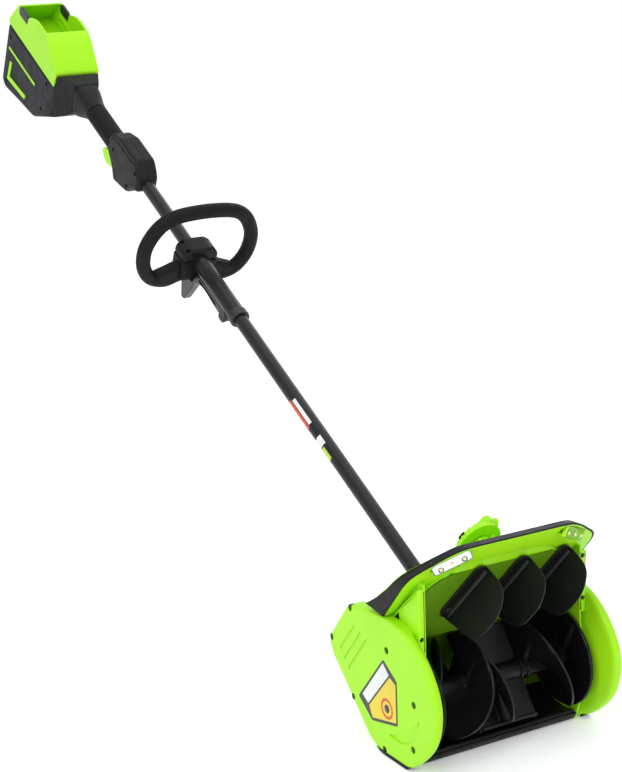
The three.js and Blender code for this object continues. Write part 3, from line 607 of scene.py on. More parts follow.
def cover_label():
    """A blank five-sided panel: dark border, white field and yellow field, and a plain round mark."""
    kite = [(26, 153), (-10, 129.5), (-10, 60), (60, 44), (97, 71)][::-1]
    white = [(85.5, 77.5), (26.5, 147), (11, 133), (70, 68)][::-1]
    yellow = [(9, 130.5), (-6.5, 124), (-6.5, 64), (58.5, 49.2), (67.5, 66)][::-1]
    fields = [("border", kite, 4, 167.55, BLACK), ("white_field", white, 1.5, 167.75, FILM_WHITE),
              ("yellow_field", yellow, 2, 167.75, FILM_YELLOW)]
    for name, outline, corner, top, material in fields:
        line = rounded_corners(anticlockwise(outline), corner, 4)
        shape = mirror_x(pillow("X", line, 166.9, top, 0.1, (False, True), 2))
        piece(f"label_{name}", [shape], material, edge=0)
    ring = lathe("X", [(-167.4, 12), (-167.4, 16), (-167.9, 16), (-167.9, 12)][::-1], 17.8, 78, 48)
    piece("label_ring", [ring], FILM_RED, edge=0)
    mark = lathe("X", [(-167.4, CORE), (-167.4, 7), (-167.9, 6.6), (-167.9, CORE)][::-1], 17.8, 78, 36)
    piece("label_mark", [mark], BLACK, edge=0)


def side_wall(side, name):
    """The plate beside the auger with a rounded box-shaped cheek carrying the front screws."""
    front = [(-44, 284), (-44, 165), (-52, 110), (-50, 50), (-32, 1.2)]
    back = [(30, 1.2), (44, 4), (70, 16), (167, 111), (173, 132), (126, 200), (104, 206.5), (50, 247)]
    back += [(-6, 289)]
    plate = prism("X", rounded_corners([*back, *front], 2, 3), WALL["inner"], WALL["outer"])
    cheek_line = rounded_corners([(40, 205), (-10, 252), (-44, 280), (-44, 176), (-20, 196)], 6, 4)
    cheek = pillow("X", anticlockwise(cheek_line), 139.2, WALL["cheek"], 4.5, (False, True), 5)
    heights = (201,) if side < 0 else (201, 268)
    shaft_hole = rod("X", 130, 150, 17, AUGER["y"], AUGER["z"], 48)
    cutters = on_side(side, [shaft_hole, *[rod("Y", -50, -40.5, 3.9, 144.2, z, 24) for z in heights]])
    if side < 0:
        cutters.append(rod("X", -150, -130, 12, 112, 150, 36))
    piece(f"{name}_wall", on_side(side, [plate, cheek]), GREEN, edge=0.5, cuts=cutters,
          stands_for=[f"{name}_side_wall"])
    screws(f"{name}_wall_screws", [facing(side * 144.2, -41.5, z, (0, -1, 0)) for z in heights], radius=2.8)
    shoe_line = rounded_corners([(-40, 6.1), (-30, 0.3), (30, 0.3), (42, 2.3), (51, 6.1)], 1, 2)
    low, high = sorted((side * SHOE["inner"], side * SHOE["outer"]))
    piece(f"{name}_shoe", [pillow("X", anticlockwise(shoe_line), low, high, 0.8)], TRIM, edge=0.2)


def plate_line(outside, thickness):
    """The closed outline of a bent plate, from its outer line drawn upwards."""
    inside = []
    for i, here in enumerate(outside):
        before, after = outside[max(i - 1, 0)], outside[min(i + 1, len(outside) - 1)]
        run = Vector((after[0] - before[0], after[1] - before[1])).normalized()
        inside.append((here[0] - run.y * thickness, here[1] + run.x * thickness))
    return outside + inside[::-1]


def rear_casing():
    """The two ribbed shells behind the trough, with their screw bosses."""
    lower = [(47, 7.5), (68, 18), (165, 112), (170, 120)]
    upper = [(170.7, 121.3), (173, 130), (167, 143), (126, 197), (118, 203), (105, 206)]
    shells = {"lower": [prism("X", plate_line(lower, CASING), -137.6, 137.6)],
              "upper": [prism("X", plate_line(upper, CASING), -137.6, 137.6)]}
    for x in (-96, -48, 0, 48, 96):
        rib = [(75, 26), (79.5, 28.2), (155.5, 101.8), (158, 106.5), (157.2, 107.3), (74.3, 26.8)]
        shells["lower"].append(prism("X", rib, x - 2, x + 2))
    for x in (-84, -60, 60, 84):
        rib = [(166, 144.3), (165.4, 147.2), (131.4, 192), (128.8, 193.3), (128, 192.7), (165.2, 143.7)]
        shells["upper"].append(prism("X", rib, x - 2, x + 2))
    down, up = (0, 0.696, -0.718), (0, 0.797, 0.605)
    corners = [(x, share) for x in (-122, 122) for share in (0.12, 0.88)]
    spots = {"lower": [facing(x, 68 + 97 * share, 18 + 94 * share, down) for x, share in corners],
             "upper": [facing(x, 146.5, 170, up) for x in (-122, 122)]}
    cup = [(-1, CORE), (-1, 6.2), (0.9, 6.2), (1.4, 5.6), (1.4, 4), (0.3, 3.8), (0.3, CORE)]
    boss = lathe("Z", cup, segments=28)
    socket = rod("Y", -140, -20, 21, segments=48)
    for part, shapes in shells.items():
        bosses = [turned(boss, spot) for spot in spots[part]]
        obj = piece(f"rear_{part}_shell", shapes + bosses, GREEN, edge=0.4,
                    stands_for=[f"rear_casing_{part}"])
        if part == "upper":
            carve(obj, [socket], BOOM_AXES)
        screws(f"rear_{part}_screws", [spot @ shifted(0, 0, 0.4) for spot in spots[part]])


cover_label()
rear_casing()
for side, name in SIDES:
    side_cover(side, name)
    side_wall(side, name)

# ---------------------------------------------------------------- hood

# Stations round the hood's rim, from the middle of the top to the foot of a leg: the rim's outer and
# inner edges on its own plane, the trim's width front to back, and the shell's middle and rear edge.
RIM_STATIONS = [
    ((0, 0), (0, -53), 15, (0, 24, 266), (0, 106, 205)),
    ((45, 0), (30, -53.5), 15, (46, 24, 266), (50, 106, 205)),
    ((86, -0.6), (58, -55.5), 15.5, (88, 24, 265), (95, 106, 205)),
    ((105, -5.5), (76, -60), 16.5, (110, 25, 263), (118, 105, 205)),
    ((122, -16), (93, -67.5), 18, (128, 26, 261), (131, 103, 205.5)),
    ((140, -31), (110, -79), 19.5, (138, 28, 258), (135, 100, 206)),
    ((155, -44), (123, -92), 21.5, (142, 32, 254), (136, 97, 206.5)),
    ((164, -57), (132, -106), 23, (144, 36, 250), (136.6, 95, 207)),
    ((167.6, -74), (138, -121), 26, (145, 42, 246), (137, 93, 207.5)),
    ((167.6, -100), (141.3, -136), 31, (145, 48, 241), (137, 92, 208)),
    ((167.6, -128), (141.3, -148), 39, (145, 54, 236), (137, 91, 208.5)),
    ((167.6, -161), (141.3, -161), 46, (145, 60, 231), (137, 90, 209)),
]


def rim_point(x, up, back=0.0, behind=0.0):
    """A point on the rim's plane, `back` behind it square to it and `behind` further back level."""
    lean = RIM["lean"] * DEG
    y = RIM["y"] - up * math.sin(lean) + back * math.cos(lean) + behind
    return (x, y, RIM["z"] + up * math.cos(lean) + back * math.sin(lean))


def both_sides(values):
    """Station rows for the left half, reversed, then the right half."""
    flipped = [tuple((-v[0], *v[1:]) if isinstance(v, tuple) else v for v in row) for row in values[:0:-1]]
    return flipped + list(values)


def rim_rows():
    """The stations on both sides with smooth ones between them."""
    rows = both_sides(RIM_STATIONS)
    flat = [tuple(v for part in row for v in (part if isinstance(part, tuple) else (part,))) for row in rows]
    return spline(flat, 3)


def rim_sections(row):
    """The rim's face, its trim and the hood's back at one station."""
    ox, oz, ix, iz, width, mx, my, mz, bx, by, bz = row
    reach = math.hypot(ix - ox, iz - oz)

    def across(d, back, behind=0.0):
        share = d / reach
        return rim_point(ox + (ix - ox) * share, oz + (iz - oz) * share, back, behind)

    face = [across(3.8, 1.2, 8), across(3.3, 1.2), across(3.9, 0.4), across(5.2, 0)]
    face += [across(reach * 0.5, -0.7), across(reach - 3.2, 0), across(reach - 0.9, 0.9), across(reach, 3.4)]
    face += [across(reach, 9.5), across(reach - 3, 9.5), across(reach * 0.5, 6)]
    share = max(0.0, (width - 16) / 30)
    lift = 5 * share - 30 * share * (1 - share)
    rear = [(x, y, z + lift) for x, y, z in (across(0, 1.2, width), across(2.9, 1.2, width))]
    trim = [across(3, 0.5), across(1.8, -0.4), across(0.5, 0), across(0, 1.2), *rear]
    shell = (across(1.2, 1.2, width - 1.5), (mx, my, mz), (bx, by, bz))
    return face, trim, shell


def lamp_axes(side):
    return spun(RIM_AXES, side * LAMP["x"], 0, LAMP["up"], side * LAMP["turn"])


# Across the lamp, front to back and up: it hangs from the rim's edge with an upright face.
LAMP_SECTION = [(-0.4, -1.2), (7.5, -1.2), (7.5, -21.5), (-0.2, -22.4), (-6.5, -20.6), (-9.6, -17.6)]
LAMP_SECTION += [(-9.9, -15)]
LAMP_ROUNDING = 6.0
LAMP_NOD = Matrix.Rotation(-0.6, 4, "X")  # turns the bowls back up from the rim's lean
BOWL_PLACES = (-18.5, 0, 18.5)


def lamp_body(shrink, reach):
    """The lamp's section carried along it, drawn in round both ends."""
    outline = anticlockwise(rounded_corners(LAMP_SECTION, 1.4, 3))
    rings = []
    for k in range(7):
        t = k * math.pi / 12
        tuck = 0.55 * LAMP_ROUNDING * (1 - math.sin(t))
        rings.append((LAMP_ROUNDING * (1 - math.cos(t)) - reach, shrink + tuck))
    rings += [(-x, d) for x, d in reversed(rings)]
    return loft([along("X", inset(outline, d) if d > 1e-6 else outline, x) for x, d in rings])


def headlamp(side, name):
    axes = lamp_axes(side)
    bowl = lamp_body(1.6, LAMP["half_length"] - 1.8)
    cup = lathe("Y", [(-6, CORE), (-6, 8.4), (0, 6.4), (2.5, CORE)], segments=28)
    chip = pillow("Y", oblong(-2.2, 2.2, -2.2, 2.2, 0.8, 2), -3, -0.6, 0.4, (True, False), 2)
    cups = [turned(cup, shifted(x, -6.4, -11.5) @ LAMP_NOD) for x in BOWL_PLACES]
    leds = [turned(chip, shifted(x, -4.6, -11) @ LAMP_NOD) for x in BOWL_PLACES]
    piece(f"{name}_lamp_reflector", [bowl], CHROME, axes=axes, edge=0.25, cuts=cups,
          stands_for=[f"{name}_headlight_reflector"])
    piece(f"{name}_lamp_leds", leds, LED, axes=axes, edge=0)
    piece(f"{name}_lamp_lens", [lamp_body(0.0, LAMP["half_length"])], CLEAR, axes=axes, edge=0,
          stands_for=[f"{name}_headlight_lens"])


def hood_liner():
    """The skin between the rim's inner edge and the top of the panel."""
    stations = [((0, -53), (0, 82)), ((58, -55.5), (58, 82)), ((80, -61), (84, 82)), ((96, -68.5), (102, 77))]
    stations += [((110, -79), (116, 68)), ((123, -92), (127, 57)), ((132, -106), (134, 46))]
    stations += [((138, -121), (137.5, 38))]
    rings = []
    for (ax, aup), (bx, bup) in both_sides(stations):
        a, b = Vector(rim_point(ax, aup, 6)), PANEL_AXES @ (Vector((bx, 2, bup)) * MM) / MM
        off = Vector((0, 1.2, 1.2))
        rings.append([tuple(a), tuple(b), tuple(b + off), tuple(a + off)])
    piece("hood_liner", [loft(rings)], GREEN, edge=0)


def hood():
    faces, trims, shells = zip(*[rim_sections(row) for row in rim_rows()])
    pocket = lamp_body(0.0, LAMP["half_length"] + 0.2)
    pockets = [turned(pocket, lamp_axes(side)) for side in (-1, 1)]
    piece("rim_shell", [loft(faces)], GREEN, cuts=pockets, edge=0.5, stands_for=["hood_rim"])
    piece("rim_trim", [loft(trims)], TRIM, edge=0.5, stands_for=["hood_trim"])
    curves = [spline(line, 6) for line in shells]
    centre = Vector((0, 40, 180))
    inner = [[tuple(Vector(p) + (centre - Vector(p)).normalized() * 2.8) for p in curve] for curve in curves]
    outer_rings = [curve + back[::-1] for curve, back in zip(curves, inner)]
    piece("hood_shell", [loft(outer_rings)], GREEN, edge=0.6, stands_for=["hood_back"])
    for side, name in SIDES:
        headlamp(side, name)
    hood_liner()


def dial_bearing():
    """The collar the dial's spindle turns in, standing on the hood, with radial ribs."""
    axes = spun(PANEL_AXES, 0, 0, DIAL["up"], 0)
    rise = DIAL["from"] - 1
    flare = [(rise, 15), (rise - 1.5, 16.5), (rise - 10, 19), (rise - 22, 21)]
    collar = lathe("Y", [(rise - 22, 8), (rise, 8), *flare])
    ribs = []
    for k in range(6):
        rib = prism("Y", [(14, -1.4), (26, -1.4), (26, 1.4), (14, 1.4)], rise - 22, rise - 7)
        ribs.append(turned(rib, Matrix.Rotation(60 * k * DEG, 4, "Y")))
    piece("dial_bearing", [collar, *ribs], GREEN, axes=axes, edge=0.6)


def housing_panel():
    """The trough behind the auger and the panel over it, with holes and seats for the vanes."""
    width = TROUGH["half_width"]
    corner = [(width, 40), (130, 54), (118, 66), (104, 76), (88, PANEL["top"])]
    outline = [(-width, -45), (width, -45), *corner, *[(-x, up) for x, up in reversed(corner)]]
    holes = [prism("Y", circle(5.2, k * VANE_PITCH, 0, 24), -5, 9) for k in (-1, 0, 1)]
    seat = [(-0.2, 5.2), (-0.2, 11), (-1.2, 10.4), (-1.2, 5.2)]
    seats = [lathe("Y", seat, k * VANE_PITCH, 0, 32) for k in (-1, 0, 1)]
    panel = turned(prism("Y", outline, 0, 4), PANEL_AXES)
    y, z = AUGER["y"], AUGER["z"]
    inside = arc(y, z, TROUGH["inner"], -97, 73, 60)
    outside = arc(y, z, TROUGH["outer"], 73, -97, 60)
    trough = prism("X", (inside + outside)[::-1], -width, width)
    # The trough, panel and vane seats wear the darker green, a painted shade.
    piece("trough_and_panel", [trough, panel], SHADED_GREEN, edge=0.6,
          cuts=[turned(h, PANEL_AXES) for h in holes], stands_for=["auger_housing"])
    piece("vane_seats", seats, SHADED_GREEN, axes=PANEL_AXES, edge=0.2)


hood()
dial_bearing()
housing_panel()

# ---------------------------------------------------------------- vanes and dial


def vane(index):
    """A thin leaf on an oval foot, with a stiffening root and a domed pivot cap."""
    axes = spun(PANEL_AXES, (index - 2) * VANE_PITCH, 0, 0, VANE_TURN)
    upper = [(-20, 95.8), (-34, 95.6), (-46, 93), (-56, 86), (-66, 72), (-71.4, 56)]
    lower = [(-72, 40), (-71, 27), (-66, 15), (-56, 7), (-40, 1)]
    root_side = [(-2.8, -6), (-2.8, 93), (-6, 95.4)]
    leaf = anticlockwise(rounded_corners(root_side + spline(upper + lower, 3) + [(-5, -7)], 1.2, 2))
    bead = [(1.6, -1.0), (0.9, -0.8), (0.2, -1.25), (0, -0.9), (0, 0.9), (0.2, 1.25), (0.9, 0.8), (1.6, 1.0)]
    rings = [along("X", inset(leaf, d), w) for d, w in bead]
    foot = pillow("Y", oblong(-18, 12, -7, 95, 14.9, 8), -3.4, -0.4, 1.2, (True, False), 3)
    root = loft([along("Z", [(-4, -3), (4, -3), (1.4, -9), (-1.4, -9)], w) for w in (-2, 4, 40, 84, 90)])
    cap = lathe("Y", [(-3.2, CORE), (-5.4, CORE), (-5.4, 3.4), (-4.8, 5), (-3.2, 5.4)][::-1], -6, 8, 28)
    pin = rod("Y", -1, 7.5, 4.5, segments=24)
    arm = pillow("Y", oblong(-5.5, 5.5, -21.5, 5.5, 5.4), 4.6, 7.6, 0.5)
    stud = rod("Y", 7, 11.2, 3, 0, -16, 20)
    piece(f"vane_leaf_{index}", [loft(rings), foot, root, cap, pin, arm, stud], BLADE,
          body="vane_" + "abc"[index - 1], axes=axes, edge=0, stands_for=[f"vane_{index}"])


def dial():
    """A ribbed finger dial with a tall grip fin, on a spindle through the hood."""
    low, high, radius = DIAL["from"], DIAL["to"], DIAL["radius"]
    spindle = rod("Y", 12, low + 2, 6, segments=24)
    arm = pillow("Y", oblong(-6, 6, -22, 6, 5.8), 11.5, 14.5, 0.5)
    stud = rod("Y", 7.9, 12, 3, 0, -16, 20)
    scallop = []
    for k in range(192):
        t = k * 2 * math.pi / 192
        reach = radius - 0.5 + 0.5 * math.cos(32 * t)
        scallop.append((reach * math.cos(t), reach * math.sin(t)))
    dome = [(0, 0), (0, 7), (0.8, 8.6), (2.4, 9.6), (8, 11), (16, 12.2), (26, 12.8)]
    wheel = loft([along("Y", towards(scallop, (0, 0), d / radius), low + rise) for d, rise in dome])
    ribs = []
    for k in range(5):
        off = 13 + 5.5 * k
        reach = math.sqrt((radius - 3) ** 2 - off**2) if off < radius - 4 else 6
        rib_side = oblong(low + 6, low + 14.4 - 0.9 * k, -reach, reach, 2.5, 4)
        ribs.append(pillow("X", rib_side, -off - 1.6, 1 - off, 0.8))
    fin_side = [(low + 4, -26), (low + 4, 34), (low + 8, 39), (low + 13, 40)]
    fin_side += [(high, 34), (high, 6), (high - 2, -16), (low + 10, -26)]
    fin = pillow("X", rounded_corners(fin_side, 4, 4), -8, 12, 2.6)
    piece("dial_wheel", [wheel, *ribs, fin, spindle, arm, stud], GREEN, body="dial", axes=DIAL_AXES,
          edge=0.35, stands_for=["direction_dial"])


for number in (1, 2, 3):
    vane(number)
dial()

# ---------------------------------------------------------------- auger


def augered(x, radius, angle):
    return (x, AUGER["y"] + radius * math.cos(angle * DEG), AUGER["z"] + radius * math.sin(angle * DEG))


# Across the ribbon's thickness and out along its reach, with a thicker rounded rim.
RIBBON_SIDE = [(2, 13), (1.4, 30), (1.2, 68), (1.9, 72), (1.9, 75), (1, 76)]
RIBBON_SECTION = [(-2, 13), *RIBBON_SIDE, *[(-side, reach) for side, reach in RIBBON_SIDE[:0:-1]]]


def ribbon(stations, turn):
    rings = []
    for x, angle in spline(stations, 14):
        rings.append([augered(x + side, radius, angle + turn) for side, radius in RIBBON_SECTION])
    return loft(rings)


def paddle(turn):
    """A bent blade along the auger with a turned-in lip and two stiffening ribs."""

    def blade(points, low, high):
        polar = [(math.hypot(r, t), 55 + turn + math.degrees(math.atan2(t, r))) for t, r in points]
        return loft([[augered(x, radius, angle) for radius, angle in polar] for x in (low, high)])

    section = [(-1.6, 12), (-1.6, 70), (-6.6, 71.6), (-6.6, 75), (1.2, 75), (2, 73), (2, 12)]
    rib = [(-4.2, 14), (-4.2, 62), (-1.4, 68), (-1.4, 14)]
    return [blade(section, -45, 52), *[blade(rib, x, x + 2.2) for x in (-14, 20)]]


def auger():
    half = AUGER["half_length"]
    y, z = AUGER["y"], AUGER["z"]
    left = [(-46, 55), (-43, 130), (-49, 180), (-81, 250), (2 - half, 330)]
    right = [(52, 55), (57, 90), (68, 135), (100, 200), (half - 2, 260)]
    web = [(-42, 130), (-30, 150), (-17, 180), (3, 225)]

    def two_starts(stations):
        return [ribbon(stations, turn) for turn in (0, 180)]

    def end_disc(inner, outer):
        out = 1 if outer > inner else -1
        bead = [(inner - 1.2 * out, 72), (inner - 1.2 * out, 75)]
        profile = [(inner, 6.4), (inner, 70), *bead, (inner, 76), (outer, 76), (outer, 6.4)]
        return lathe("X", profile[::out], y, z, 96)

    def hub(a, b):
        rib = [(a, 6.4), (a, 14), (a + 1, 15)]
        return lathe("X", rib + [(b - 1, 15), (b, 14), (b, 6.4)], y, z, 56)

    def collars(spots):
        return [lathe("X", [(x, 14), (x + 0.8, 17.5), (x + 4.2, 17.5), (x + 5, 14)], y, z, 48) for x in spots]

    left_end = [end_disc(3 - half, -half), hub(-half, -46), *collars((-128, -58))]
    middle = [*paddle(0), *paddle(180), hub(-45.7, 52), *collars((-44, 46))]
    right_end = [end_disc(half - 3, half), hub(52.3, half), *collars((58, 122))]
    for name, shapes, node_name in (
        ("auger_flight_l", two_starts(left) + left_end, "auger_left_flight"),
        ("auger_middle", two_starts(web) + middle, "auger_paddles"),
        ("auger_flight_r", two_starts(right) + right_end, "auger_right_flight"),
    ):
        piece(name, shapes, FLIGHT, body="auger", edge=0.25, stands_for=[node_name])


def trough_liner():
    """The dark wear plate on the lower front of the trough, and the ribbed scraper bar under it."""
    y, z = AUGER["y"], AUGER["z"]
    inner = [(y - 26, 15.2)] + arc(y, z, 83.4, -105, -48, 24)
    outer = arc(y, z, 83.9, -48, -96.6, 20) + arc(y, z, TROUGH["outer"], -97.4, -105, 4) + [(y - 27.5, 11.2)]
    piece("trough_wear_plate", [prism("X", (inner + outer)[::-1], -137.4, 137.4)], FLIGHT, edge=0)
    line = [(-28, 0), (28, 0), (44, 4.3), (43, 7), (28, 3.5), (-26, 3.5), (-34.5, 14.4), (-38, 14.4)]
    line += [(-36, 9)]
    bar = prism("X", rounded_corners(line, 1.2, 3), -TROUGH["half_width"], TROUGH["half_width"])
    bolts = [facing(x, -33.5, 6.5, (0, -0.8, -0.62)) for x in (-110, -55, 0, 55, 110)]
    piece("scraper_bar", [bar], TRIM, edge=0.3, stands_for=["scraper"])
    screws("scraper_bolts", bolts, radius=2.6)


auger()
trough_liner()

# ---------------------------------------------------------------- boom


def tube(name, low, high, node_name):
    r, bore = BOOM["radius"], BOOM["bore"]
    profile = [(low, bore), (low, r - 0.5), (low + 0.5, r), (high - 0.5, r), (high, r - 0.5), (high, bore)]
    piece(name, [lathe("Y", profile, segments=72)], TUBE, axes=BOOM_AXES, edge=0, stands_for=[node_name])


def band(name, low, high, start, end, material):
    """A printed film wrapped part way round the tube."""
    r = BOOM["radius"]
    outline = arc(0, 0, r + 0.25, start, end, 36) + arc(0, 0, r + 0.05, end, start, 36)
    piece(name, [prism("Y", outline, low, high)], material, axes=BOOM_AXES, edge=0)


def boom():
    tube("boom_tube_lower", TUBES["foot"] + 1, TUBES["split"] - 0.5, "lower_tube")
    tube("boom_tube_upper", TUBES["split"] + 0.5, TUBES["end"], "upper_tube")
    band("sticker_red", 332, 402, 165, 300, FILM_RED)
    band("sticker_white", 336, 398, 128, 158, FILM_WHITE)
    band("sticker_pale", 285, 305, 130, 215, FILM_WHITE)
    band("sticker_lime", 254, 282, 160, 290, FILM_LIME)
    foot = TUBES["foot"]
    rings = [(foot + 1, 13), (foot + 1, 18.5), (foot + 2.5, 20), (-60, 20), (-57, 22), (-57, 27.5)]
    rings += [(-55.5, 29), (-51.5, 29), (-50, 27.5), (-50, 21), (-33, 19), (-30, 17.5), (-30, 13)]
    bolt_hole = rod("X", -40, 40, 3.3, foot + 38, 0, 24)
    piece("boom_foot_socket", [lathe("Y", rings, segments=64)], BLACK, axes=BOOM_AXES, edge=0.4,
          cuts=[bolt_hole], stands_for=["boom_socket"])


def coupler():
    low, high, r = SLEEVE["from"], SLEEVE["to"], SLEEVE["radius"]
    bore = BOOM["radius"] + 0.3
    profile = [(low, bore), (low, r - 0.8), (low + 0.8, r), (low + 6, r)]
    for k in range(3):
        profile += [(low + 8 + 4 * k, r - 0.6), (low + 10 + 4 * k, r)]
    profile += [(high - 3, r), (high - 0.6, r - 0.8), (high, r - 1.6), (high, bore)]
    ears = [pillow("X", oblong(low + 15, low + 36, -34, -9, 6, 5), x, x + 5.2, 0.8) for x in (8.3, -13.5)]
    pin_line = [(-14.2, CORE), (-14.2, 3), (-13.5, 4.2), (-12.6, 3), (12.6, 3), (13.5, 4.2), (14.2, 3)]
    pin = lathe("X", [*pin_line, (14.2, CORE)], low + 25, -27, 28)
    piece("tube_sleeve", [lathe("Y", profile, segments=64), *ears, pin], TUBE, axes=BOOM_AXES, edge=0.3,
          stands_for=["coupler_sleeve"])
    ring, end = SLEEVE["ring"], low - 0.3
    lobes = [(ring, bore), (ring, 16.5), (ring + 1.2, 18)]
    for k in range(3):
        lobes += [(ring + 3 + 4.5 * k, 18.5), (ring + 5 + 4.5 * k, 18.5), (ring + 5.8 + 4.5 * k, 17.8)]
    lobes += [(end - 1, 18), (end, 17), (end, bore)]
    piece("tube_end_ring", [lathe("Y", lobes, segments=64)], BLACK, axes=BOOM_AXES, edge=0.2,
          stands_for=["coupler_end_ring"])
    under = [(682, -34), (710, -33), (742, -30), (766, -33), (783, -44), (798, -74), (809, -97), (815, -101)]
    over = [(822, -100), (830, -78), (834, -60), (826, -49), (806, -47), (793, -44), (789, -30)]
    over += [(780, -20), (748, -18), (700, -18), (676, -18.5)]
    heel = arc(low + 25, -27, 8.4, 100, 255, 12)
    blade = spline(under, 4) + spline(over, 4) + heel
    hole = rod("X", -20, 20, 3.3, low + 25, -27, 28)
    notch = pillow("X", oblong(700, 772, -28.5, -23, 2.4, 5), 5.6, 12, 0.4)
    piece("clamp_lever", [pillow("X", blade, -7.8, 7.8, 2.4)], BLACK, body="clamp_lever",
          axes=BOOM_AXES, edge=0.3, cuts=[hole, notch, mirror_x(notch)], stands_for=["coupler_lever"])


def front_loop():
    """The padded hand loop, its moulded base and the two-part clamp."""
    half = [(30, -38), (58, -47), (86, -38), (104, -12), (109, 22), (102, 52), (84, 80), (55, 96)]
    line = [(0, -33), *half, (0, 101)] + [(-x, n) for x, n in reversed(half)]
    path = [(x, LOOP["at"], n) for x, n in spline(line, 8, closed=True)]
    loop = sweep(path, circle(LOOP["tube"], count=28), closed=True, up=(0, 1, 0))
    low, high = LOOP["clamp_from"], LOOP["clamp_to"]
    saddle = pillow("Y", rounded_corners([(-34, -41), (34, -41), (36, 2), (-36, 2)], 6, 5), low, high, 4)
    web = [(-22, -43), (22, -43), (60, -58), (84, -50), (82, -28), (60, -20), (34, -8)]
    web += [(-x, n) for x, n in reversed(web[2:])]
    base = pillow("Y", rounded_corners(web, 9, 5), 799.5, 824.5, 8)
    bore = rod("Y", 700, 900, 13, segments=64)
    piece("hand_loop", [loop, saddle, base], RUBBER, axes=BOOM_AXES, cuts=[bore],
          stands_for=["front_loop_handle"])
    cap_line = rounded_corners([(-36, 2.5), (36, 2.5), (34, 18), (20, 27.5), (-20, 27.5), (-34, 18)], 6, 5)
    cap = pillow("Y", cap_line, low, high, 5)
    spots = [(25.5, 800), (25.5, 828), (-25.5, 800), (-25.5, 828)]
    sinks = [rod("Z", 18.6, 40, 4.3, x, y, 28) for x, y in spots]
    piece("loop_cap", [cap], CHARCOAL, slot="black_plastic", axes=BOOM_AXES, edge=0.6, cuts=[bore, *sinks],
          stands_for=["loop_clamp_cap"])
    screws("loop_cap_screws", [facing(x, y, 18.7, (0, 0, 1)) for x, y in spots], axes=BOOM_AXES, radius=3)


boom()
coupler()
front_loop()

# ---------------------------------------------------------------- rear handle

WELL_DEPTH = 3.0


def halves(name, shell, node_names, cuts, within=()):
    """A pod as its two moulded halves with a fine groove between them."""
    limits = {"left": (-200, -0.25), "right": (0.25, 200)}
    for (side, (low, high)), node_name in zip(limits.items(), node_names):
        keep = prism("X", [(900, -300), (1800, -300), (1800, 200), (900, 200)], low, high)
        obj = link(f"{side}_{name}", mesh_of([shell], BOOM_AXES))
        for limit in [*within, keep]:
            carve(obj, [limit], BOOM_AXES, "INTERSECT")
        carve(obj, cuts, BOOM_AXES)
        finish_piece(obj, CHARCOAL, "frame", 0.5, stands_for=[node_name])


def wells(spots, radius):
    """Round screw wells sunk in the left and right faces, as cutters."""
    shapes = []
    for x, s, n in spots:
        for side in (-1, 1):
            a, b = sorted((side * (x - WELL_DEPTH), side * (x + 12)))
            shapes.append(rod("X", a, b, radius, s, n, 28))
    return shapes


def side_screws(name, spots):
    both = [facing(side * (x - WELL_DEPTH), s, n, (side, 0, 0)) for x, s, n in spots for side in (-1, 1)]
    screws(name, both, axes=BOOM_AXES, radius=3.0)


def trigger_group():
    under = [(1034, -14), (1048, -18), (1078, -43), (1135, -55), (1150, -33), (1172, -16), (1180, -8)]
    over = [(1180, 18), (1172, 30), (1135, 42), (1061, 42), (1044, 27), (1034, 14)]
    outline = rounded_corners(under + over, 7, 4)
    shell = pillow("X", outline, -22, 22, 8, steps=6)
    hollow = pillow("X", inset(outline, 3), -18.5, 18.5, 5)
    bore = rod("Y", 1000, 1300, 13, segments=64)
    slot_cut = prism("X", [(1128, -70), (1200, -70), (1200, -9), (1128, -9)], -7.5, 7.5)
    spots = [(20.5, 1052, 18), (20.5, 1075, -26), (20.5, 1152, 6)]
    facet = rounded_corners([(1058, 60), (1052, 34), (1070, 30), (1140, 30), (1160, 24), (1168, 60)], 3, 3)
    grooves = [pillow("X", facet, 20.9, 30, 0.4), pillow("X", facet, -30, -20.9, 0.4)]
    halves("trigger_pod", shell, ["left_trigger_housing", "right_trigger_housing"],
           [hollow, bore, slot_cut, *grooves, *wells(spots, 4.2)])
    side_screws("trigger_pod_screws", spots)
    front = [(1158, -24), (1164, -40), (1178, -56), (1200, -60), (1218, -54), (1225, -42)]
    back = [(1215, -33), (1179, -25), (1176, -17), (1162, -17)]
    key = pillow("X", rounded_corners(front + back, 4, 4), -6.5, 6.5, 2)
    bars = []
    for k in range(4):
        a, b = 1182 + 8 * k, 1184.5 + 8 * k
        bars.append(prism("X", [(a, -70), (b, -70), (b, -58.4), (a, -58.2)], -9, 9))
    piece("trigger_key", [key], GREEN, body="trigger_key", axes=BOOM_AXES, edge=0.4, cuts=bars,
          stands_for=["trigger"])


def grip_and_neck():
    low, high, r = GRIP["from"], GRIP["to"], GRIP["radius"]
    profile = [(low, 16), (low, r - 2.5), (low + 2.5, r)]
    for k in range(17):
        a = low + 7 + 5.4 * k
        profile += [(a, r), (a + 0.8, r - 0.7), (a + 1.8, r - 0.7), (a + 2.6, r)]
    profile += [(high - 2.5, r), (high, r - 2.5), (high, 16)]
    piece("soft_grip", [lathe("Y", profile, segments=72)], RUBBER, axes=BOOM_AXES, edge=0,
          stands_for=["rear_grip"])
    nose = BAY["nose"] - 0.3
    rings = []
    for i in range(13):
        t = i / 12
        ease = t * t * (3 - 2 * t)
        y = high + 0.3 + (nose - high - 0.3) * t
        a = r + (26 - r) * ease
        up, down = r + (27 - r) * ease, r + (40 - r) * ease
        power = 2 + 2.4 * ease
        ring = []
        for k in range(48):
            c, q = math.cos(k * 7.5 * DEG), math.sin(k * 7.5 * DEG)
            scale = (abs(c) ** power + abs(q) ** power) ** (-1 / power)
            ring.append((a * c * scale, y, (up if q > 0 else down) * q * scale))
        rings.append(ring)
    piece("grip_neck", [loft(rings)], CHARCOAL, axes=BOOM_AXES, edge=0.6, stands_for=["handle_neck"])


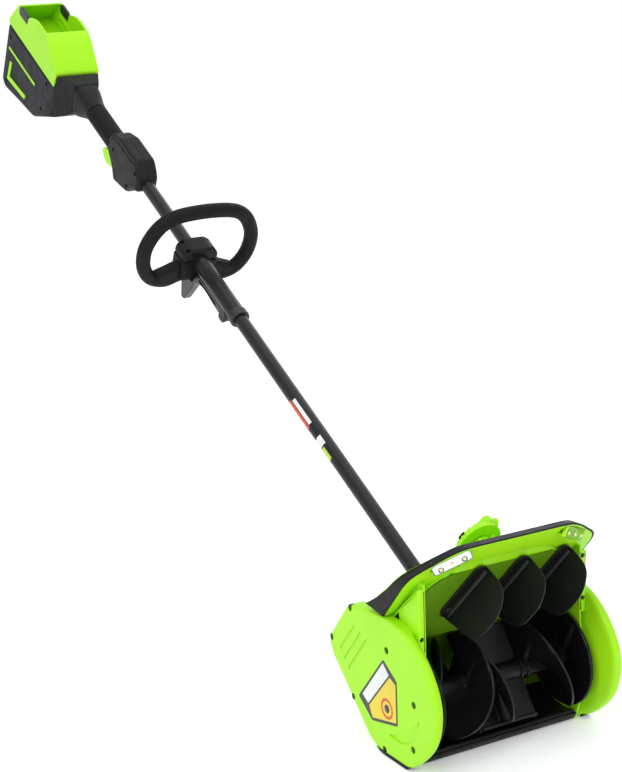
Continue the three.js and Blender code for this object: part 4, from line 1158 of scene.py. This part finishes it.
def battery_group():
    nose, rear, split = BAY["nose"], BAY["rear"], BAY["split"]
    under = [(nose, -40), (1380, -68), (1474, -128), (1552, -140), (1630, -154), (rear, -143)]
    side = rounded_corners(under + [(rear, split - 0.3), (1398, split - 0.3), (1394, 24), (nose, 27)], 9, 4)
    shell = pillow("X", side, -48, 48, 7, steps=6)
    half = [(26, nose), (45, 1394), (48, 1420), (48, rear + 5)]
    plan = half + [(-x, s) for x, s in reversed(half)]
    wall = prism("Z", plan, -300, 200)
    chamber = [(1424, -90), (1474, -122), (1552, -135), (1628, -149), (1644, -140), (1644, -11), (1424, -11)]
    hollow = pillow("X", chamber, -43.5, 43.5, 4)
    spots = [(46, 1430, -20), (46, 1440, -86), (47.5, 1530, -112), (47.5, 1622, -132), (47.5, 1630, -30)]
    halves("battery_pod", shell, ["left_battery_housing", "right_battery_housing"],
           [hollow, *wells(spots, 4.4)], [wall])
    side_screws("battery_pod_screws", spots)
    bar = [(1613, -79), (1617, -124), (1520, -114), (1519, -105.5), (1607.5, -114), (1604.5, -79)]
    mark = pillow("X", rounded_corners(bar, 1, 3), 48, 50, 0.6, (False, True))
    for side, name in reversed(SIDES):
        piece(f"{name}_corner_inlay", on_side(side, [mark]), GREEN, axes=BOOM_AXES, edge=0.2,
              stands_for=[f"{name}_inlay"])
    stripe = mirror_x(pillow("X", oblong(1482, 1630, -58, -52.5, 2.4), 47.5, 49.2, 0.5, (False, True)))
    piece("pod_stripe", [stripe], GREEN, axes=BOOM_AXES, edge=0)


def bay():
    rear, split, w = BAY["rear"], BAY["split"], BAY["half_width"]
    rim = [(1612, 57), (1607, 57), (1606, 40), (1559, 40), (1557, 60), (1521, 75), (1466, 75), (1395, 25)]
    corners = [0.8, 0.8, 3, 3, 1.2, 5, 5, 8, 16, 24, 6]
    side = rounded_corners([(1399, split), (rear - 0.5, split), (rear - 0.5, 4), *rim], corners, 4)
    cavity = [(1404, 1), (1644, 1), (1606, 55), (1606, 120), (1474, 120), (1474, 72), (1404, 24)]
    hollow = prism("X", cavity, 5 - w, w - 5)
    walls = pillow("X", side, -w, w, 0.7)
    rails = []
    for sign in (-1, 1):
        low, high = sorted((sign * 42.6, sign * 40.4))
        for n in (14, 30):
            rails.append(prism("X", [(1440, n), (1604, n), (1604, n + 4), (1440, n + 4)], low, high))
    piece("bay_rails", rails, GREEN, axes=BOOM_AXES, edge=0.3)
    piece("bay_shell", [walls], GREEN, axes=BOOM_AXES, edge=0.4, cuts=[hollow], angle=50,
          stands_for=["battery_bay"])
    button = pillow("X", oblong(1560, 1605, 40.3, 60, 9, 6), w - 5, w + 0.3, 1.2)
    grips = []
    for s in range(1569, 1599, 6):
        grips.append(prism("X", [(s, 43), (s + 1.6, 43), (s + 1.6, 57.5), (s, 57.5)], w - 0.5, w + 4))
    for side, name in reversed(SIDES):
        piece(f"{name}_release", on_side(side, [button]), BLACK, body=f"latch_{name}", axes=BOOM_AXES,
              edge=0.25, cuts=on_side(side, grips), stands_for=[f"{name}_latch"])
    blades = [pillow("X", oblong(1430, 1452, 4, 12, 1.5, 3), x - 0.6, x + 0.6, 0.2) for x in (-12, -4, 4, 12)]
    block = pillow("X", oblong(1412, 1432, 1.3, 15, 2, 4), -20, 20, 1)
    piece("contact_block", [block], BLACK, axes=BOOM_AXES, edge=0.3,
          stands_for=["battery_terminal_block"])
    piece("contact_blades", blades, STEEL, axes=BOOM_AXES, edge=0.1)


trigger_group()
grip_and_neck()
battery_group()
bay()

# ---------------------------------------------------------------- camera, floor and light

CAMERA_AT = (-1.48353, -2.09309, 1.21673)
CAMERA_TURN = (1.315935, 0.034310, -0.528445)
LENS = 85.896


def set_camera():
    data = bpy.data.cameras.new("camera")
    data.lens = LENS
    data.sensor_width = 36
    data.clip_end = 200
    camera = bpy.data.objects.new("camera", data)
    camera.location = CAMERA_AT
    camera.rotation_euler = Euler(CAMERA_TURN)
    bpy.context.scene.collection.objects.link(camera)
    bpy.context.scene.camera = camera


def floor():
    bm = bmesh.new()
    bmesh.ops.create_grid(bm, x_segments=2, y_segments=2, size=60)
    data = bpy.data.meshes.new("floor")
    bm.to_mesh(data)
    bm.free()
    plane = link("floor", data)
    material, tree, bsdf = shader("floor", (0.93, 0.93, 0.93), 0.9, specular=0.1)
    tone = spread(tree, noise(tree, 3, 2), 0.92, 0.935)
    tree.links.new(tone.outputs[0], bsdf.inputs["Base Color"])
    plane.data.materials.append(material)
    bsdf.inputs["Emission Color"].default_value = (1, 1, 1, 1)
    bsdf.inputs["Emission Strength"].default_value = 0.22
    plane.location.z = -0.0005


def area_light(name, at, target, size, power):
    data = bpy.data.lights.new(name, "AREA")
    data.shape = "RECTANGLE"
    data.size, data.size_y = size
    data.energy = power
    lamp = bpy.data.objects.new(name, data)
    lamp.location = at
    lamp.rotation_euler = (Vector(target) - Vector(at)).to_track_quat("-Z", "Y").to_euler()
    bpy.context.scene.collection.objects.link(lamp)


def light():
    middle = (0, 0.5, 0.4)
    area_light("key", (-2.6, -1.6, 3.2), middle, (2.2, 2.2), 58)
    area_light("front", (0.6, -3.6, 1.9), (0, 0, 0.2), (2.2, 1.4), 7)
    area_light("top", (0.3, 0.8, 3.6), middle, (3, 3), 26)
    area_light("rear", (2.8, 2.6, 2.2), middle, (2, 2), 18)
    world = bpy.data.worlds.new("studio")
    world.use_nodes = True
    world.node_tree.nodes["Background"].inputs["Color"].default_value = (0.95, 0.97, 1, 1)
    world.node_tree.nodes["Background"].inputs["Strength"].default_value = 0.88
    bpy.context.scene.world = world


bpy.context.scene.view_settings.view_transform = "Standard"
set_camera()
floor()
light()
